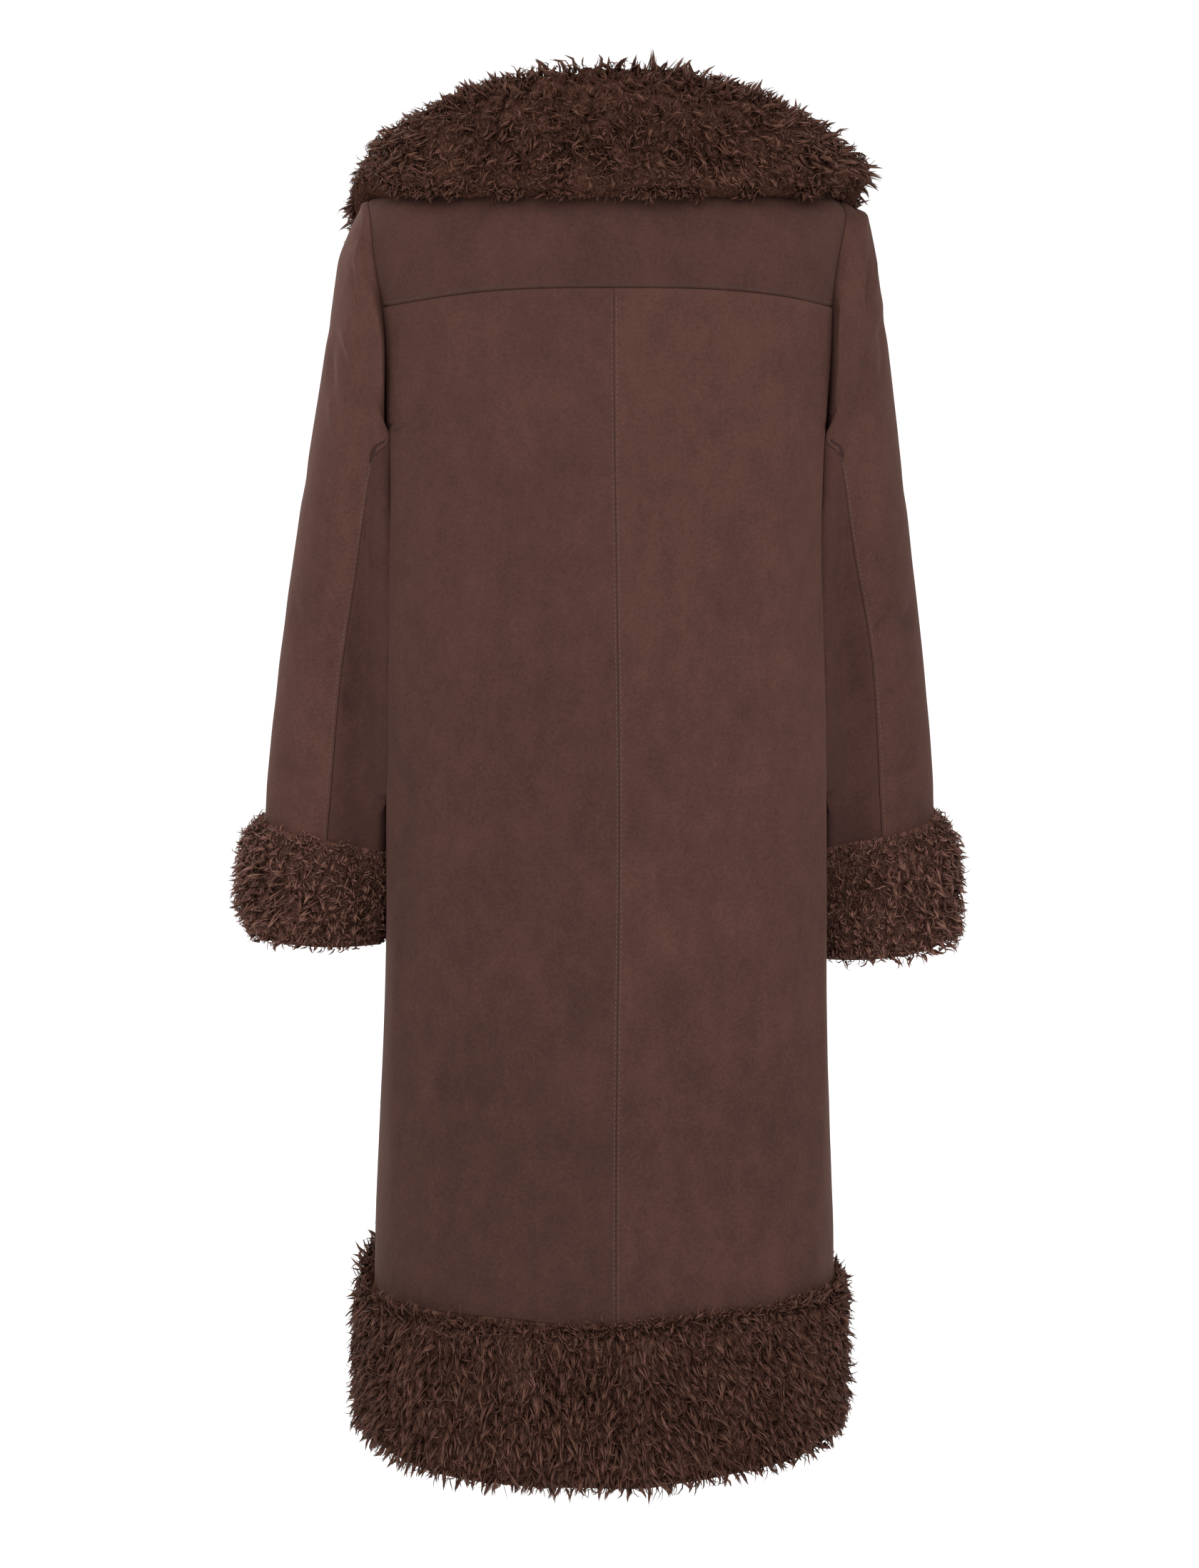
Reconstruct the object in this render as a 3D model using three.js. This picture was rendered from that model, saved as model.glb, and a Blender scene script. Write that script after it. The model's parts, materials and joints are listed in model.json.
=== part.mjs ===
// Long straight coat of suede-look cloth with a large shaggy fur collar, fur cuffs and a fur hem.
// It has its worn shape: hollow, edge to edge down the front, with the sleeves at the sides.
// Millimetres, +Z up. The front faces -Y and the wearer's left is +X.
// The origin is the middle of the neck and shoulders, where the wearer carries the coat.
import * as THREE from 'three';

// ---------------------------------------------------------------- driving sizes
const CLOTH = 1.8;              // thickness of the suede-look cloth
const SEAM = 0.3;               // gap between two sewn pieces
const HALF_SEAM = SEAM / 2;

const SHOULDER_HALF = 200;      // from the neck middle to the shoulder tip
const SHOULDER_Y = -8;          // the shoulder seam lies a little forward of the neck middle
const RIDGE_MID = 36;           // height of the shoulder form at the neck middle
const RIDGE_DROP = 58;          // how far the shoulder tip lies below that
const RIDGE_CURVE = 1.7;        // how late the shoulder falls away
const OVER_CORNER = 2.3;        // how square the cloth turns over the shoulder

const NECK_HALF = 88;           // half the width of the neck seam
const NECK_BACK = 80;           // the neck seam's reach behind the shoulder seam
const NECK_FRONT_DOWN = 92;     // lowest point of the neck seam, at the centre front
const NECK_FRONT_CURVE = 1.5;   // how the front neck seam falls

const YOKE_MID_DOWN = 92;       // yoke seam at the centre back
const YOKE_SIDE_DOWN = 110;     // yoke seam at the armholes
const YOKE_ARM_X = 188;         // armhole edge at the yoke seam
const YOKE_ARCH = 3;            // how late the yoke seam turns down
const CHEST_DOWN = 135;         // level where the front starts to turn over the shoulder
const CHEST_ARM_X = 178;        // armhole edge at that level
const UNDERARM_DOWN = 214;      // lowest point of the armhole
const SIDE_SEAM_Y = 0;          // the side seam runs straight down from the underarm

const HEM_SEAM_DOWN = 960;      // seam between the cloth and the hem fur
const HEM_DOWN = 1106;          // lower edge of the hem fur
const FRONT_GAP = 1.2;          // space between the two front edges

const FUR_BASE = 0.3;           // gap between a fur piece and the cloth under it
const HEM_FUR = 21;             // reach of the hem fur outside the coat
const CUFF_FUR = 22;            // reach of the cuff fur
const CUFF_FUR_INSIDE = 3;      // the same, where the cuff lies against the coat
const NECK_FUR = 10;            // reach of the fur inside the neck
const SLEEVE_CLEAR = 1.6;       // space kept between the sleeves and the coat's side
const ARMHOLE_GAP = 0.4;        // the same at the armhole seam
const COLLAR_GAP = 0.5;         // the collar stands this far above the neck seam

// The coat's rings from the chest down: how far down, half the width, where the widest line
// lies, the reach of the back and of the front, and how square each of those halves is.
const BODY = [
  { down: 85, side: 191, widest: 24, back: 126, front: 122, backCorner: 3.7, frontCorner: 2.7 },
  { down: 215, side: 190, widest: 24, back: 133, front: 133, backCorner: 3.3, frontCorner: 2.5 },
  { down: 450, side: 190, widest: 20, back: 137, front: 138, backCorner: 2.9, frontCorner: 2.4 },
  { down: 680, side: 191, widest: 16, back: 141, front: 141, backCorner: 2.7, frontCorner: 2.4 },
  { down: 900, side: 200, widest: 12, back: 147, front: 145, backCorner: 2.5, frontCorner: 2.4 },
  { down: 1110, side: 204, widest: 10, back: 150, front: 148, backCorner: 2.4, frontCorner: 2.4 },
];

// The long soft folds of the skirt: the turn from the centre back in degrees (the wearer's left
// is plus), the width, the levels where it starts and is full, and its height (a dip is minus).
const FOLDS = [
  { turn: -9, width: 13, from: 560, full: 960, height: 5 },
  { turn: 12, width: 12, from: 600, full: 960, height: -4 },
  { turn: -58, width: 12, from: 640, full: 1000, height: 5 },
  { turn: 52, width: 14, from: 700, full: 1000, height: 4 },
  { turn: 128, width: 14, from: 620, full: 1000, height: 4 },
  { turn: -134, width: 13, from: 660, full: 1000, height: 5 },
];

// The left sleeve's rings from the armhole to the cuff's lower edge: the outermost point, the
// innermost point, the ring's middle front to back and half its depth.
const SLEEVE = [
  { step: 0, outX: 200, outDown: 22, inX: 188, inDown: 214, y: -2, deep: 70 },
  { step: 1, outX: 221, outDown: 30, inX: 188, inDown: 222, y: -3, deep: 78 },
  { step: 2, outX: 230, outDown: 62, inX: 188, inDown: 240, y: -5, deep: 82 },
  { step: 3, outX: 242, outDown: 136, inX: 188, inDown: 290, y: -9, deep: 81 },
  { step: 4, outX: 262, outDown: 280, inX: 187, inDown: 370, y: -17, deep: 76 },
  { step: 5, outX: 279, outDown: 405, inX: 186, inDown: 455, y: -27, deep: 69 },
  { step: 6, outX: 291, outDown: 510, inX: 186, inDown: 540, y: -38, deep: 63 },
  { step: 7, outX: 294, outDown: 552, inX: 187, inDown: 574, y: -43, deep: 61 },
  { step: 8, outX: 299, outDown: 654, inX: 191, inDown: 670, y: -52, deep: 61 },
];
const CUFF_STEP = 7;            // the ring of the cuff seam
const CUFF_END = 8;             // the ring of the cuff's lower edge

// Where the sleeve's back and front seams run, in degrees round the ring from its outermost line.
const SLEEVE_SEAMS = [
  { step: 0, back: 150, front: 140 },
  { step: 3, back: 124, front: 126 },
  { step: 4, back: 107, front: 116 },
  { step: 5, back: 95, front: 106 },
  { step: 7, back: 90, front: 100 },
];

// The collar from the centre back to the centre front: the turn round the neck in degrees, how
// far out and up from the neck seam it rolls over, its outer edge, how full it is between the
// roll and the edge, and the reach of its fur. The first row mirrors the third.
const COLLAR = [
  { turn: -45, out: 11, rise: 41, edgeX: -146, edgeY: 87, edgeDown: 17, full: 0.7, fur: 27 },
  { turn: 0, out: 10, rise: 49, edgeX: 0, edgeY: 118, edgeDown: 16, full: 0.8, fur: 27 },
  { turn: 45, out: 11, rise: 41, edgeX: 146, edgeY: 87, edgeDown: 17, full: 0.7, fur: 27 },
  { turn: 90, out: 12, rise: 27, edgeX: 208, edgeY: -4, edgeDown: 19, full: 0.66, fur: 26 },
  { turn: 110, out: 12, rise: 23, edgeX: 208, edgeY: -60, edgeDown: 47, full: 0.68, fur: 23 },
  { turn: 128, out: 11, rise: 20, edgeX: 191, edgeY: -100, edgeDown: 87, full: 0.72, fur: 22 },
  { turn: 152, out: 9, rise: 15, edgeX: 110, edgeY: -134, edgeDown: 142, full: 0.74, fur: 21 },
  { turn: 176, out: 8, rise: 11, edgeX: 10, edgeY: -143, edgeDown: 172, full: 0.78, fur: 19 },
];
const COLLAR_END_TURN = 176;    // the collar's front edge, round the neck
const MID_FALL = 0.62;          // share of the way out at which that fullness is taken

// ---------------------------------------------------------------- looks
const SUEDE = { color: 0x5a3d36, roughness: 0.92, metalness: 0 };
const DEEP_SUEDE = { color: 0x4b322d, roughness: 0.92, metalness: 0 };
const FUR = { color: 0x3e2921, roughness: 0.6, metalness: 0 };

// ---------------------------------------------------------------- small helpers
const rad = THREE.MathUtils.degToRad;
const lerp = THREE.MathUtils.lerp;
const share01 = (t) => THREE.MathUtils.clamp(t, 0, 1);
const smooth = (t) => THREE.MathUtils.smoothstep(t, 0, 1);
const point = (x, y, z) => new THREE.Vector3(x, y, z);
const RIGHT_ANGLE = Math.PI / 2;

// Evenly spaced values from a to b, both included.
const spread = (a, b, steps) => Array.from({ length: steps + 1 }, (_, k) => lerp(a, b, k / steps));

// Reads every column of a table smoothly, at a value of its first column.
function read(rows, at) {
  const key = Object.keys(rows[0])[0];
  let i = 0;
  while (i < rows.length - 2 && at > rows[i + 1][key]) i += 1;
  const [a, b] = [rows[i], rows[i + 1]];
  const before = rows[Math.max(i - 1, 0)];
  const after = rows[Math.min(i + 2, rows.length - 1)];
  const span = b[key] - a[key];
  const t = share01((at - a[key]) / span);
  const out = {};
  for (const name of Object.keys(a)) {
    const slopeA = ((b[name] - before[name]) / (b[key] - before[key])) * span;
    const slopeB = ((after[name] - a[name]) / (after[key] - a[key])) * span;
    out[name] = (2 * t ** 3 - 3 * t ** 2 + 1) * a[name] + (t ** 3 - 2 * t ** 2 + t) * slopeA
      + (3 * t ** 2 - 2 * t ** 3) * b[name] + (t ** 3 - t ** 2) * slopeB;
  }
  return out;
}

// Distance from the middle of a rounded rectangle to its edge, along a direction.
const cornerReach = (across, along, halfAcross, halfAlong, corner) =>
  (Math.abs(across / halfAcross) ** corner + Math.abs(along / halfAlong) ** corner) ** (-1 / corner);

// The share of one half-size that is left on a rounded rectangle at a share of the other.
const cornerRest = (share, corner) =>
  Math.max(0, 1 - Math.min(1, Math.abs(share)) ** corner) ** (1 / corner);

// ---------------------------------------------------------------- the coat's form
function foldHeight(turn, down) {
  let height = 0;
  for (const fold of FOLDS) {
    const apart = turn - rad(fold.turn);
    const off = Math.atan2(Math.sin(apart), Math.cos(apart)) / rad(fold.width);
    const grown = smooth(share01((down - fold.from) / (fold.full - fold.from)));
    height += fold.height * grown * Math.exp(-off * off);
  }
  return height;
}

// The half of the ring behind or before its widest line.
function ringHalf(down, back) {
  const row = read(BODY, down);
  const reach = back ? row.back - row.widest : row.front + row.widest;
  return { side: row.side, widest: row.widest, reach, corner: back ? row.backCorner : row.frontCorner };
}

// A point on the coat's ring: turn 0 is the centre back, a right angle the wearer's left side.
function ringPoint(turn, down) {
  const [across, along] = [Math.sin(turn), Math.cos(turn)];
  const half = ringHalf(down, along >= 0);
  const reach = cornerReach(across, along, half.side, half.reach, half.corner)
    + foldHeight(turn, down);
  return point(reach * across, half.widest + reach * along, -down);
}

// Half the coat's width at a level and a place front to back.
function sideX(down, y) {
  const half = ringHalf(down, y >= read(BODY, down).widest);
  return half.side * cornerRest((y - half.widest) / half.reach, half.corner);
}

// The turn at which the ring's left half has a given y.
const turnAtY = (down, y) => Math.atan2(sideX(down, y), y - read(BODY, down).widest);

// The y of the ring's back (facing 1) or front (facing -1) at a given x.
function ringY(down, x, facing) {
  const half = ringHalf(down, facing > 0);
  return half.widest + facing * half.reach * cornerRest(x / half.side, half.corner);
}

const ridge = (x) => RIDGE_MID - RIDGE_DROP * (Math.abs(x) / SHOULDER_HALF) ** RIDGE_CURVE;

const yokeSeamDown = (x) =>
  lerp(YOKE_MID_DOWN, YOKE_SIDE_DOWN, Math.min(1, Math.abs(x) / YOKE_ARM_X) ** YOKE_ARCH);

// Where the cloth stops turning over the shoulder: at the shoulder seam or at the neck seam.
function overEnd(topX, baseDown, deep, facing) {
  const share = Math.abs(topX) / NECK_HALF;
  if (share >= 1) return RIGHT_ANGLE;
  const high = ridge(topX) + baseDown;
  if (facing > 0) {
    const along = NECK_BACK * Math.sqrt(1 - share * share);
    return Math.atan2(high * cornerRest(along / deep, OVER_CORNER), along);
  }
  const low = baseDown - NECK_FRONT_DOWN;
  const side = ridge(NECK_HALF) + baseDown;
  const up = Math.min(high, lerp(low, side, share ** NECK_FRONT_CURVE));
  return Math.atan2(up, deep * cornerRest(up / high, OVER_CORNER));
}

// A point of the yoke (facing 1) or of the upper front (facing -1). baseX is its place on the
// yoke seam or chest line, and lift runs from 0 there to 1 at the shoulder or neck seam.
function overPoint(baseX, lift, facing) {
  const baseDown = facing > 0 ? yokeSeamDown(baseX) : CHEST_DOWN;
  const topX = (baseX * SHOULDER_HALF) / (facing > 0 ? YOKE_ARM_X : CHEST_ARM_X);
  const x = lerp(baseX, topX, smooth(lift));
  const deep = Math.abs(ringY(baseDown, baseX, facing) - SHOULDER_Y);
  const turn = lift * overEnd(topX, baseDown, deep, facing);
  const [along, up] = [Math.cos(turn), Math.sin(turn)];
  const reach = cornerReach(along, up, deep, ridge(x) + baseDown, OVER_CORNER);
  return point(x, SHOULDER_Y + facing * reach * along, reach * up - baseDown);
}

// The y of the armhole's edge below the yoke seam (facing 1) or the chest line (facing -1).
function armholeY(down, facing) {
  const top = facing > 0 ? YOKE_SIDE_DOWN : CHEST_DOWN;
  const topY = ringY(top, facing > 0 ? YOKE_ARM_X : CHEST_ARM_X, facing);
  const share = share01((down - top) / (UNDERARM_DOWN - top));
  return lerp(SIDE_SEAM_Y, topY, Math.sqrt(1 - share * share));
}

// The left armhole: 0 is the shoulder tip, 90 the back, 180 the underarm and -90 the front.
function armholePoint(degrees) {
  const at = degrees > 180 ? 360 - degrees : Math.abs(degrees);
  const facing = degrees >= 0 && degrees <= 180 ? 1 : -1;
  if (at <= 90) return overPoint(facing > 0 ? YOKE_ARM_X : CHEST_ARM_X, 1 - at / 90, facing);
  const top = facing > 0 ? YOKE_SIDE_DOWN : CHEST_DOWN;
  const down = lerp(top, UNDERARM_DOWN, Math.sin(rad(at - 90)));
  return ringPoint(turnAtY(down, armholeY(down, facing)), down);
}

// A point on the left sleeve. It leaves the armhole and then hangs close beside the coat.
function sleevePoint(degrees, step) {
  const row = read(SLEEVE, step);
  const [out, deep] = [Math.cos(rad(degrees)), Math.sin(rad(degrees))];
  const ringAt = (r) => point((r.outX + r.inX) / 2 + ((r.outX - r.inX) / 2) * out,
    r.y + r.deep * deep, -(r.outDown + r.inDown) / 2 - ((r.outDown - r.inDown) / 2) * out);
  const p = ringAt(row);
  const start = armholePoint(degrees);
  start.x += ARMHOLE_GAP;
  const left = 1 - smooth(share01(step / 1.8));
  p.addScaledVector(start.sub(ringAt(SLEEVE[0])), left);
  const clear = lerp(ARMHOLE_GAP, SLEEVE_CLEAR, share01(step));
  p.x = Math.max(p.x, sideX(-p.z, p.y) + clear);
  return p;
}

// A point on the neck seam: 0 is the centre back, 90 the left shoulder, 180 the centre front.
function neckPoint(degrees) {
  const topX = NECK_HALF * Math.sin(rad(degrees));
  const facing = degrees <= 90 ? 1 : -1;
  return overPoint((topX * (facing > 0 ? YOKE_ARM_X : CHEST_ARM_X)) / SHOULDER_HALF, 1, facing);
}

// A point between the under-collar and its fur. along runs from 0 at the neck seam, over the
// roll at a half, to 1 at the outer edge.
function leafPoint(degrees, along) {
  const row = read(COLLAR, Math.abs(degrees));
  const neck = neckPoint(row.turn);
  neck.z += COLLAR_GAP;
  const [outX, outY] = [Math.sin(rad(row.turn)), Math.cos(rad(row.turn))];
  const aside = (share, up) =>
    point(neck.x + outX * row.out * share, neck.y + outY * row.out * share, neck.z + up);
  const roll = aside(1, row.rise);
  const edge = point(row.edgeX, row.edgeY, -row.edgeDown);
  const fall = roll.clone().lerp(edge, MID_FALL);
  fall.z = lerp(edge.z, roll.z, row.full);
  const leaf = new THREE.CatmullRomCurve3(
    [neck, aside(0.3, row.rise * 0.55), roll, fall, edge], false, 'catmullrom', 0.5);
  const p = leaf.getPoint(share01(along));
  if (degrees < 0) p.x = -p.x;
  return p;
}

// ---------------------------------------------------------------- cloth walls
// A point of a surface with its outward normal, which sign turns the right way.
function sample(surface, u, v, stepU, stepV, sign = 1) {
  const p = surface(u, v);
  const du = surface(u + stepU, v).sub(surface(u - stepU, v));
  const dv = surface(u, v + stepV).sub(surface(u, v - stepV));
  return { p, n: du.cross(dv).normalize().multiplyScalar(sign) };
}

const onRing = (turn, down) => sample(ringPoint, turn, down, 0.01, 1);
const onSleeve = (degrees, step) => sample(sleevePoint, degrees, step, 1, 0.02, -1);
const onLeaf = (degrees, along) => sample(leafPoint, degrees, along, 1, 0.01);
const onOver = (baseX, lift, facing) =>
  sample((x, share) => overPoint(x, share, facing), baseX, lift, 0.5, 0.01, -facing);

const mirrored = (grid) => grid.map((row) => row.map(({ p, n }) =>
  ({ p: point(-p.x, p.y, p.z), n: point(-n.x, n.y, n.z) })));

// A closed wall from a grid of points with outward normals. reach(i, j) gives how far its inner
// and outer faces lie along them. A tube joins its last column to its first.
function wall(grid, reach, tube = false) {
  const [rows, cols] = [grid.length, grid[0].length];
  const [i0, j0] = [Math.floor(rows / 2), Math.floor(cols / 2)];
  const rowWay = grid[i0][j0].p.clone().sub(grid[i0][j0 - 1].p);
  const colWay = grid[i0][j0].p.clone().sub(grid[i0 - 1][j0].p);
  const flip = rowWay.cross(colWay).dot(grid[i0][j0].n) < 0;
  const vertices = [];
  for (const face of [0, 1]) {
    grid.forEach((row, i) => row.forEach(({ p, n }, j) => {
      vertices.push(...p.clone().addScaledVector(n, reach(i, j)[face]).toArray());
    }));
  }
  const id = (face, i, j) => face * rows * cols + i * cols + (j % cols);
  const faces = [];
  const quad = (a, b, c, d) => {
    if (flip) faces.push(a, c, b, a, d, c);
    else faces.push(a, b, c, a, c, d);
  };
  const across = tube ? cols : cols - 1;
  for (let i = 0; i < rows - 1; i += 1) {
    for (let j = 0; j < across; j += 1) {
      quad(id(1, i, j), id(1, i, j + 1), id(1, i + 1, j + 1), id(1, i + 1, j));
      quad(id(0, i, j), id(0, i + 1, j), id(0, i + 1, j + 1), id(0, i, j + 1));
    }
    if (!tube) {
      const end = cols - 1;
      quad(id(1, i, 0), id(1, i + 1, 0), id(0, i + 1, 0), id(0, i, 0));
      quad(id(0, i, end), id(0, i + 1, end), id(1, i + 1, end), id(1, i, end));
    }
  }
  const top = rows - 1;
  for (let j = 0; j < across; j += 1) {
    quad(id(0, 0, j), id(0, 0, j + 1), id(1, 0, j + 1), id(1, 0, j));
    quad(id(1, top, j), id(1, top, j + 1), id(0, top, j + 1), id(0, top, j));
  }
  const geometry = new THREE.BufferGeometry();
  geometry.setAttribute('position', new THREE.Float32BufferAttribute(vertices, 3));
  geometry.setIndex(faces);
  geometry.computeVertexNormals();
  return geometry;
}

const coat = new THREE.Group();

function add(name, geometry, look) {
  const mesh = new THREE.Mesh(geometry, new THREE.MeshStandardMaterial(look));
  mesh.name = name;
  coat.add(mesh);
}

const sewn = () => [-CLOTH, 0];

// A turn moved along the ring by half a seam's gap, to the plus or minus side.
function beside(turn, down, side) {
  const p = ringPoint(turn, down);
  return turn + (side * HALF_SEAM) / Math.hypot(p.x, p.y);
}

// ---------------------------------------------------------------- backs, fronts and yoke
// Levels that the backs and the fronts share, so that the side seams match.
const SKIRT_LEVELS = spread(HEM_SEAM_DOWN - HALF_SEAM, UNDERARM_DOWN, 10);

// The edge of a back (facing 1) or front (facing -1): the side seam, then the armhole.
function armEdgeTurn(down, facing) {
  const y = down >= UNDERARM_DOWN ? SIDE_SEAM_Y : armholeY(down, facing);
  return beside(turnAtY(down, y), down, -facing);
}

// The front edge of the left front.
const frontEdgeTurn = (down) => Math.PI - FRONT_GAP / 2 / read(BODY, down).front;

// The turn of a point of the ring that has a given x, at the back (facing 1) or front.
const turnAtX = (down, x, facing) =>
  Math.atan2(x, ringY(down, x, facing) - read(BODY, down).widest);

// Places across the neck seam, shared with the collar: turns round the neck in degrees.
const NECK_BACK_TURNS = spread(0, 90, 7);
const NECK_FRONT_TURNS = spread(90, COLLAR_END_TURN, 7);

// The places on the yoke seam (facing 1) or chest line (facing -1) that run up to those turns,
// and then on to the armhole.
function baseXs(turns, facing, armSteps) {
  const armX = facing > 0 ? YOKE_ARM_X : CHEST_ARM_X;
  const down = facing > 0 ? YOKE_SIDE_DOWN : CHEST_DOWN;
  const toNeck = turns.map((at) => (NECK_HALF * Math.sin(rad(at)) * armX) / SHOULDER_HALF);
  const corner = turnAtX(down, (NECK_HALF * armX) / SHOULDER_HALF, facing);
  const last = armEdgeTurn(down, facing);
  return [...toNeck, ...spread(corner, last, armSteps).slice(1).map((at) => ringPoint(at, down).x)];
}

const YOKE_BASE_X = baseXs(NECK_BACK_TURNS, 1, 5);
const FRONT_BASE_X = [FRONT_GAP / 2, ...baseXs(NECK_FRONT_TURNS.slice().reverse(), -1, 5)];

// The same places as shares of the turn from the centre seam to the armhole.
function sharesOf(places, down, facing) {
  const turns = places.map((x) => turnAtX(down, x, facing));
  return turns.map((turn) => (turn - turns[0]) / (turns.at(-1) - turns[0]));
}

const YOKE_SHARES = sharesOf(YOKE_BASE_X, YOKE_SIDE_DOWN, 1);
const FRONT_SHARES = sharesOf(FRONT_BASE_X, CHEST_DOWN, -1);

function backPanel(side) {
  const levels = SKIRT_LEVELS.map((down) => YOKE_SHARES.map(() => down));
  for (const share of spread(0, 1, 5).slice(1)) {
    levels.push(YOKE_BASE_X.map((x) => lerp(UNDERARM_DOWN, yokeSeamDown(x) + HALF_SEAM, share)));
  }
  return levels.map((row) => row.map((down, j) =>
    onRing(side * lerp(beside(0, down, 1), armEdgeTurn(down, 1), YOKE_SHARES[j]), down)));
}

function yoke() {
  const across = [...YOKE_BASE_X.slice(1).reverse().map((x) => -x), ...YOKE_BASE_X];
  return spread(0, 1, 7).map((lift) => across.map((baseX) => {
    const s = onOver(baseX, lift, 1);
    if (lift === 0) s.p.z += HALF_SEAM;
    if (lift === 1 && Math.abs(s.p.x) > NECK_HALF - 1) s.p.y += HALF_SEAM;
    return s;
  }));
}

function frontPanel(side) {
  const levels = [...SKIRT_LEVELS, ...spread(UNDERARM_DOWN, CHEST_DOWN, 3).slice(1)];
  const grid = levels.map((down) => FRONT_SHARES.map((share) =>
    onRing(side * lerp(frontEdgeTurn(down), armEdgeTurn(down, -1), share), down)));
  for (const lift of spread(0, 1, 6).slice(1)) {
    grid.push(FRONT_BASE_X.map((x) => {
      const s = onOver(side * x, lift, -1);
      if (lift === 1 && Math.abs(s.p.x) > NECK_HALF - 1) s.p.y -= HALF_SEAM;
      return s;
    }));
  }
  return grid;
}

add('back_yoke', wall(yoke(), sewn), SUEDE);
for (const [name, side] of [['left', 1], ['right', -1]]) {
  add(`back_${name}`, wall(backPanel(side), sewn), SUEDE);
  add(`front_${name}`, wall(frontPanel(side), sewn), SUEDE);
}

// ---------------------------------------------------------------- sleeves
const SLEEVE_STEPS = [...spread(0, 2, 5), ...spread(2, CUFF_STEP - 0.004, 10).slice(1)];

// Columns from one sleeve seam to the other, kept half a seam's gap away from both.
function sleevePanel(from, to, columns) {
  return SLEEVE_STEPS.map((step) => {
    const seams = read(SLEEVE_SEAMS, step);
    const gap = THREE.MathUtils.radToDeg(SEAM / read(SLEEVE, step).deep);
    return spread(from(seams) + gap, to(seams) - gap, columns).map((at) => onSleeve(at, step));
  });
}

const sleeveTop = sleevePanel((seams) => -seams.front, (seams) => seams.back, 10);
const sleeveUnder = sleevePanel((seams) => seams.back, (seams) => 360 - seams.front, 5);

// ---------------------------------------------------------------- cuff fur
const around = (columns) => spread(-180, 180, columns).slice(0, columns);
const CUFF_COLUMNS = around(20);
const CUFF_STEPS = spread(CUFF_STEP + 0.002, CUFF_END, 3);
const cuff = CUFF_STEPS.map((step) => CUFF_COLUMNS.map((at) => onSleeve(at, step)));

// The fur is short at the cuff's two edges, and presses flat where the cuff meets the coat.
function cuffReach(i, j) {
  const { p, n } = cuff[i][j];
  const out = (1 + Math.cos(rad(CUFF_COLUMNS[j]))) / 2;
  const full = lerp(CUFF_FUR_INSIDE, CUFF_FUR, out) * [0.7, 1, 1, 0.8][i];
  const space = n.x < 0 ? (p.x - sideX(-p.z, p.y) - SLEEVE_CLEAR) / -n.x : full;
  return [-CLOTH, Math.min(full, Math.max(0, space))];
}

for (const [name, turned] of [['left', (grid) => grid], ['right', mirrored]]) {
  add(`sleeve_upper_${name}`, wall(turned(sleeveTop), sewn), SUEDE);
  add(`sleeve_under_${name}`, wall(turned(sleeveUnder), sewn), DEEP_SUEDE);
  add(`cuff_fur_${name}`, wall(turned(cuff), cuffReach, true), FUR);
}

// ---------------------------------------------------------------- hem fur
const HEM_LEVELS = spread(HEM_SEAM_DOWN + HALF_SEAM, HEM_DOWN, 3);
const hemReach = (i) => [-CLOTH, HEM_FUR * [0.7, 1, 1, 0.8][i]];

// One piece of the hem fur between two turns that depend on the level.
function hemPiece(from, to, columns) {
  return wall(HEM_LEVELS.map((down) =>
    spread(from(down), to(down), columns).map((turn) => onRing(turn, down))), hemReach);
}

const sideTurn = (down) => turnAtY(down, SIDE_SEAM_Y);
add('hem_fur_back', hemPiece((down) => -beside(sideTurn(down), down, -1),
  (down) => beside(sideTurn(down), down, -1), 18), FUR);
add('hem_fur_front_left', hemPiece((down) => beside(sideTurn(down), down, 1), frontEdgeTurn, 9), FUR);
add('hem_fur_front_right', hemPiece((down) => -beside(sideTurn(down), down, 1),
  (down) => -frontEdgeTurn(down), 9), FUR);

// ---------------------------------------------------------------- collar
const LEFT_TURNS = [...NECK_BACK_TURNS, ...NECK_FRONT_TURNS.slice(1)];
const COLLAR_TURNS = [...LEFT_TURNS.slice(1).reverse().map((at) => -at), ...LEFT_TURNS];
const LEAF_STEPS = [0, 0.25, 0.45, 0.6, 0.75, 0.88, 1];
const leaf = COLLAR_TURNS.map((at) => LEAF_STEPS.map((along) => onLeaf(at, along)));

// The fur is short inside the neck, full over the roll and rounded off at the outer edge.
function collarReach(i, j) {
  const { fur } = read(COLLAR, Math.abs(COLLAR_TURNS[i]));
  const grown = smooth(share01(LEAF_STEPS[j] / 0.5));
  const edge = 1 - 0.2 * Math.max(0, LEAF_STEPS[j] - 0.8) / 0.2;
  return [FUR_BASE, lerp(NECK_FUR, fur, grown) * edge];
}

add('under_collar', wall(leaf, sewn), DEEP_SUEDE);
add('collar_fur', wall(leaf, collarReach), FUR);

export default coat;
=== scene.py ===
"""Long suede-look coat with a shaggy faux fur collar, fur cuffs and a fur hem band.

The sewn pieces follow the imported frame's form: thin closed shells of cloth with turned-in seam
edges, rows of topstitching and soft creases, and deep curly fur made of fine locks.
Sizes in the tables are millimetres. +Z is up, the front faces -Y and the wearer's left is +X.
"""

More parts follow.
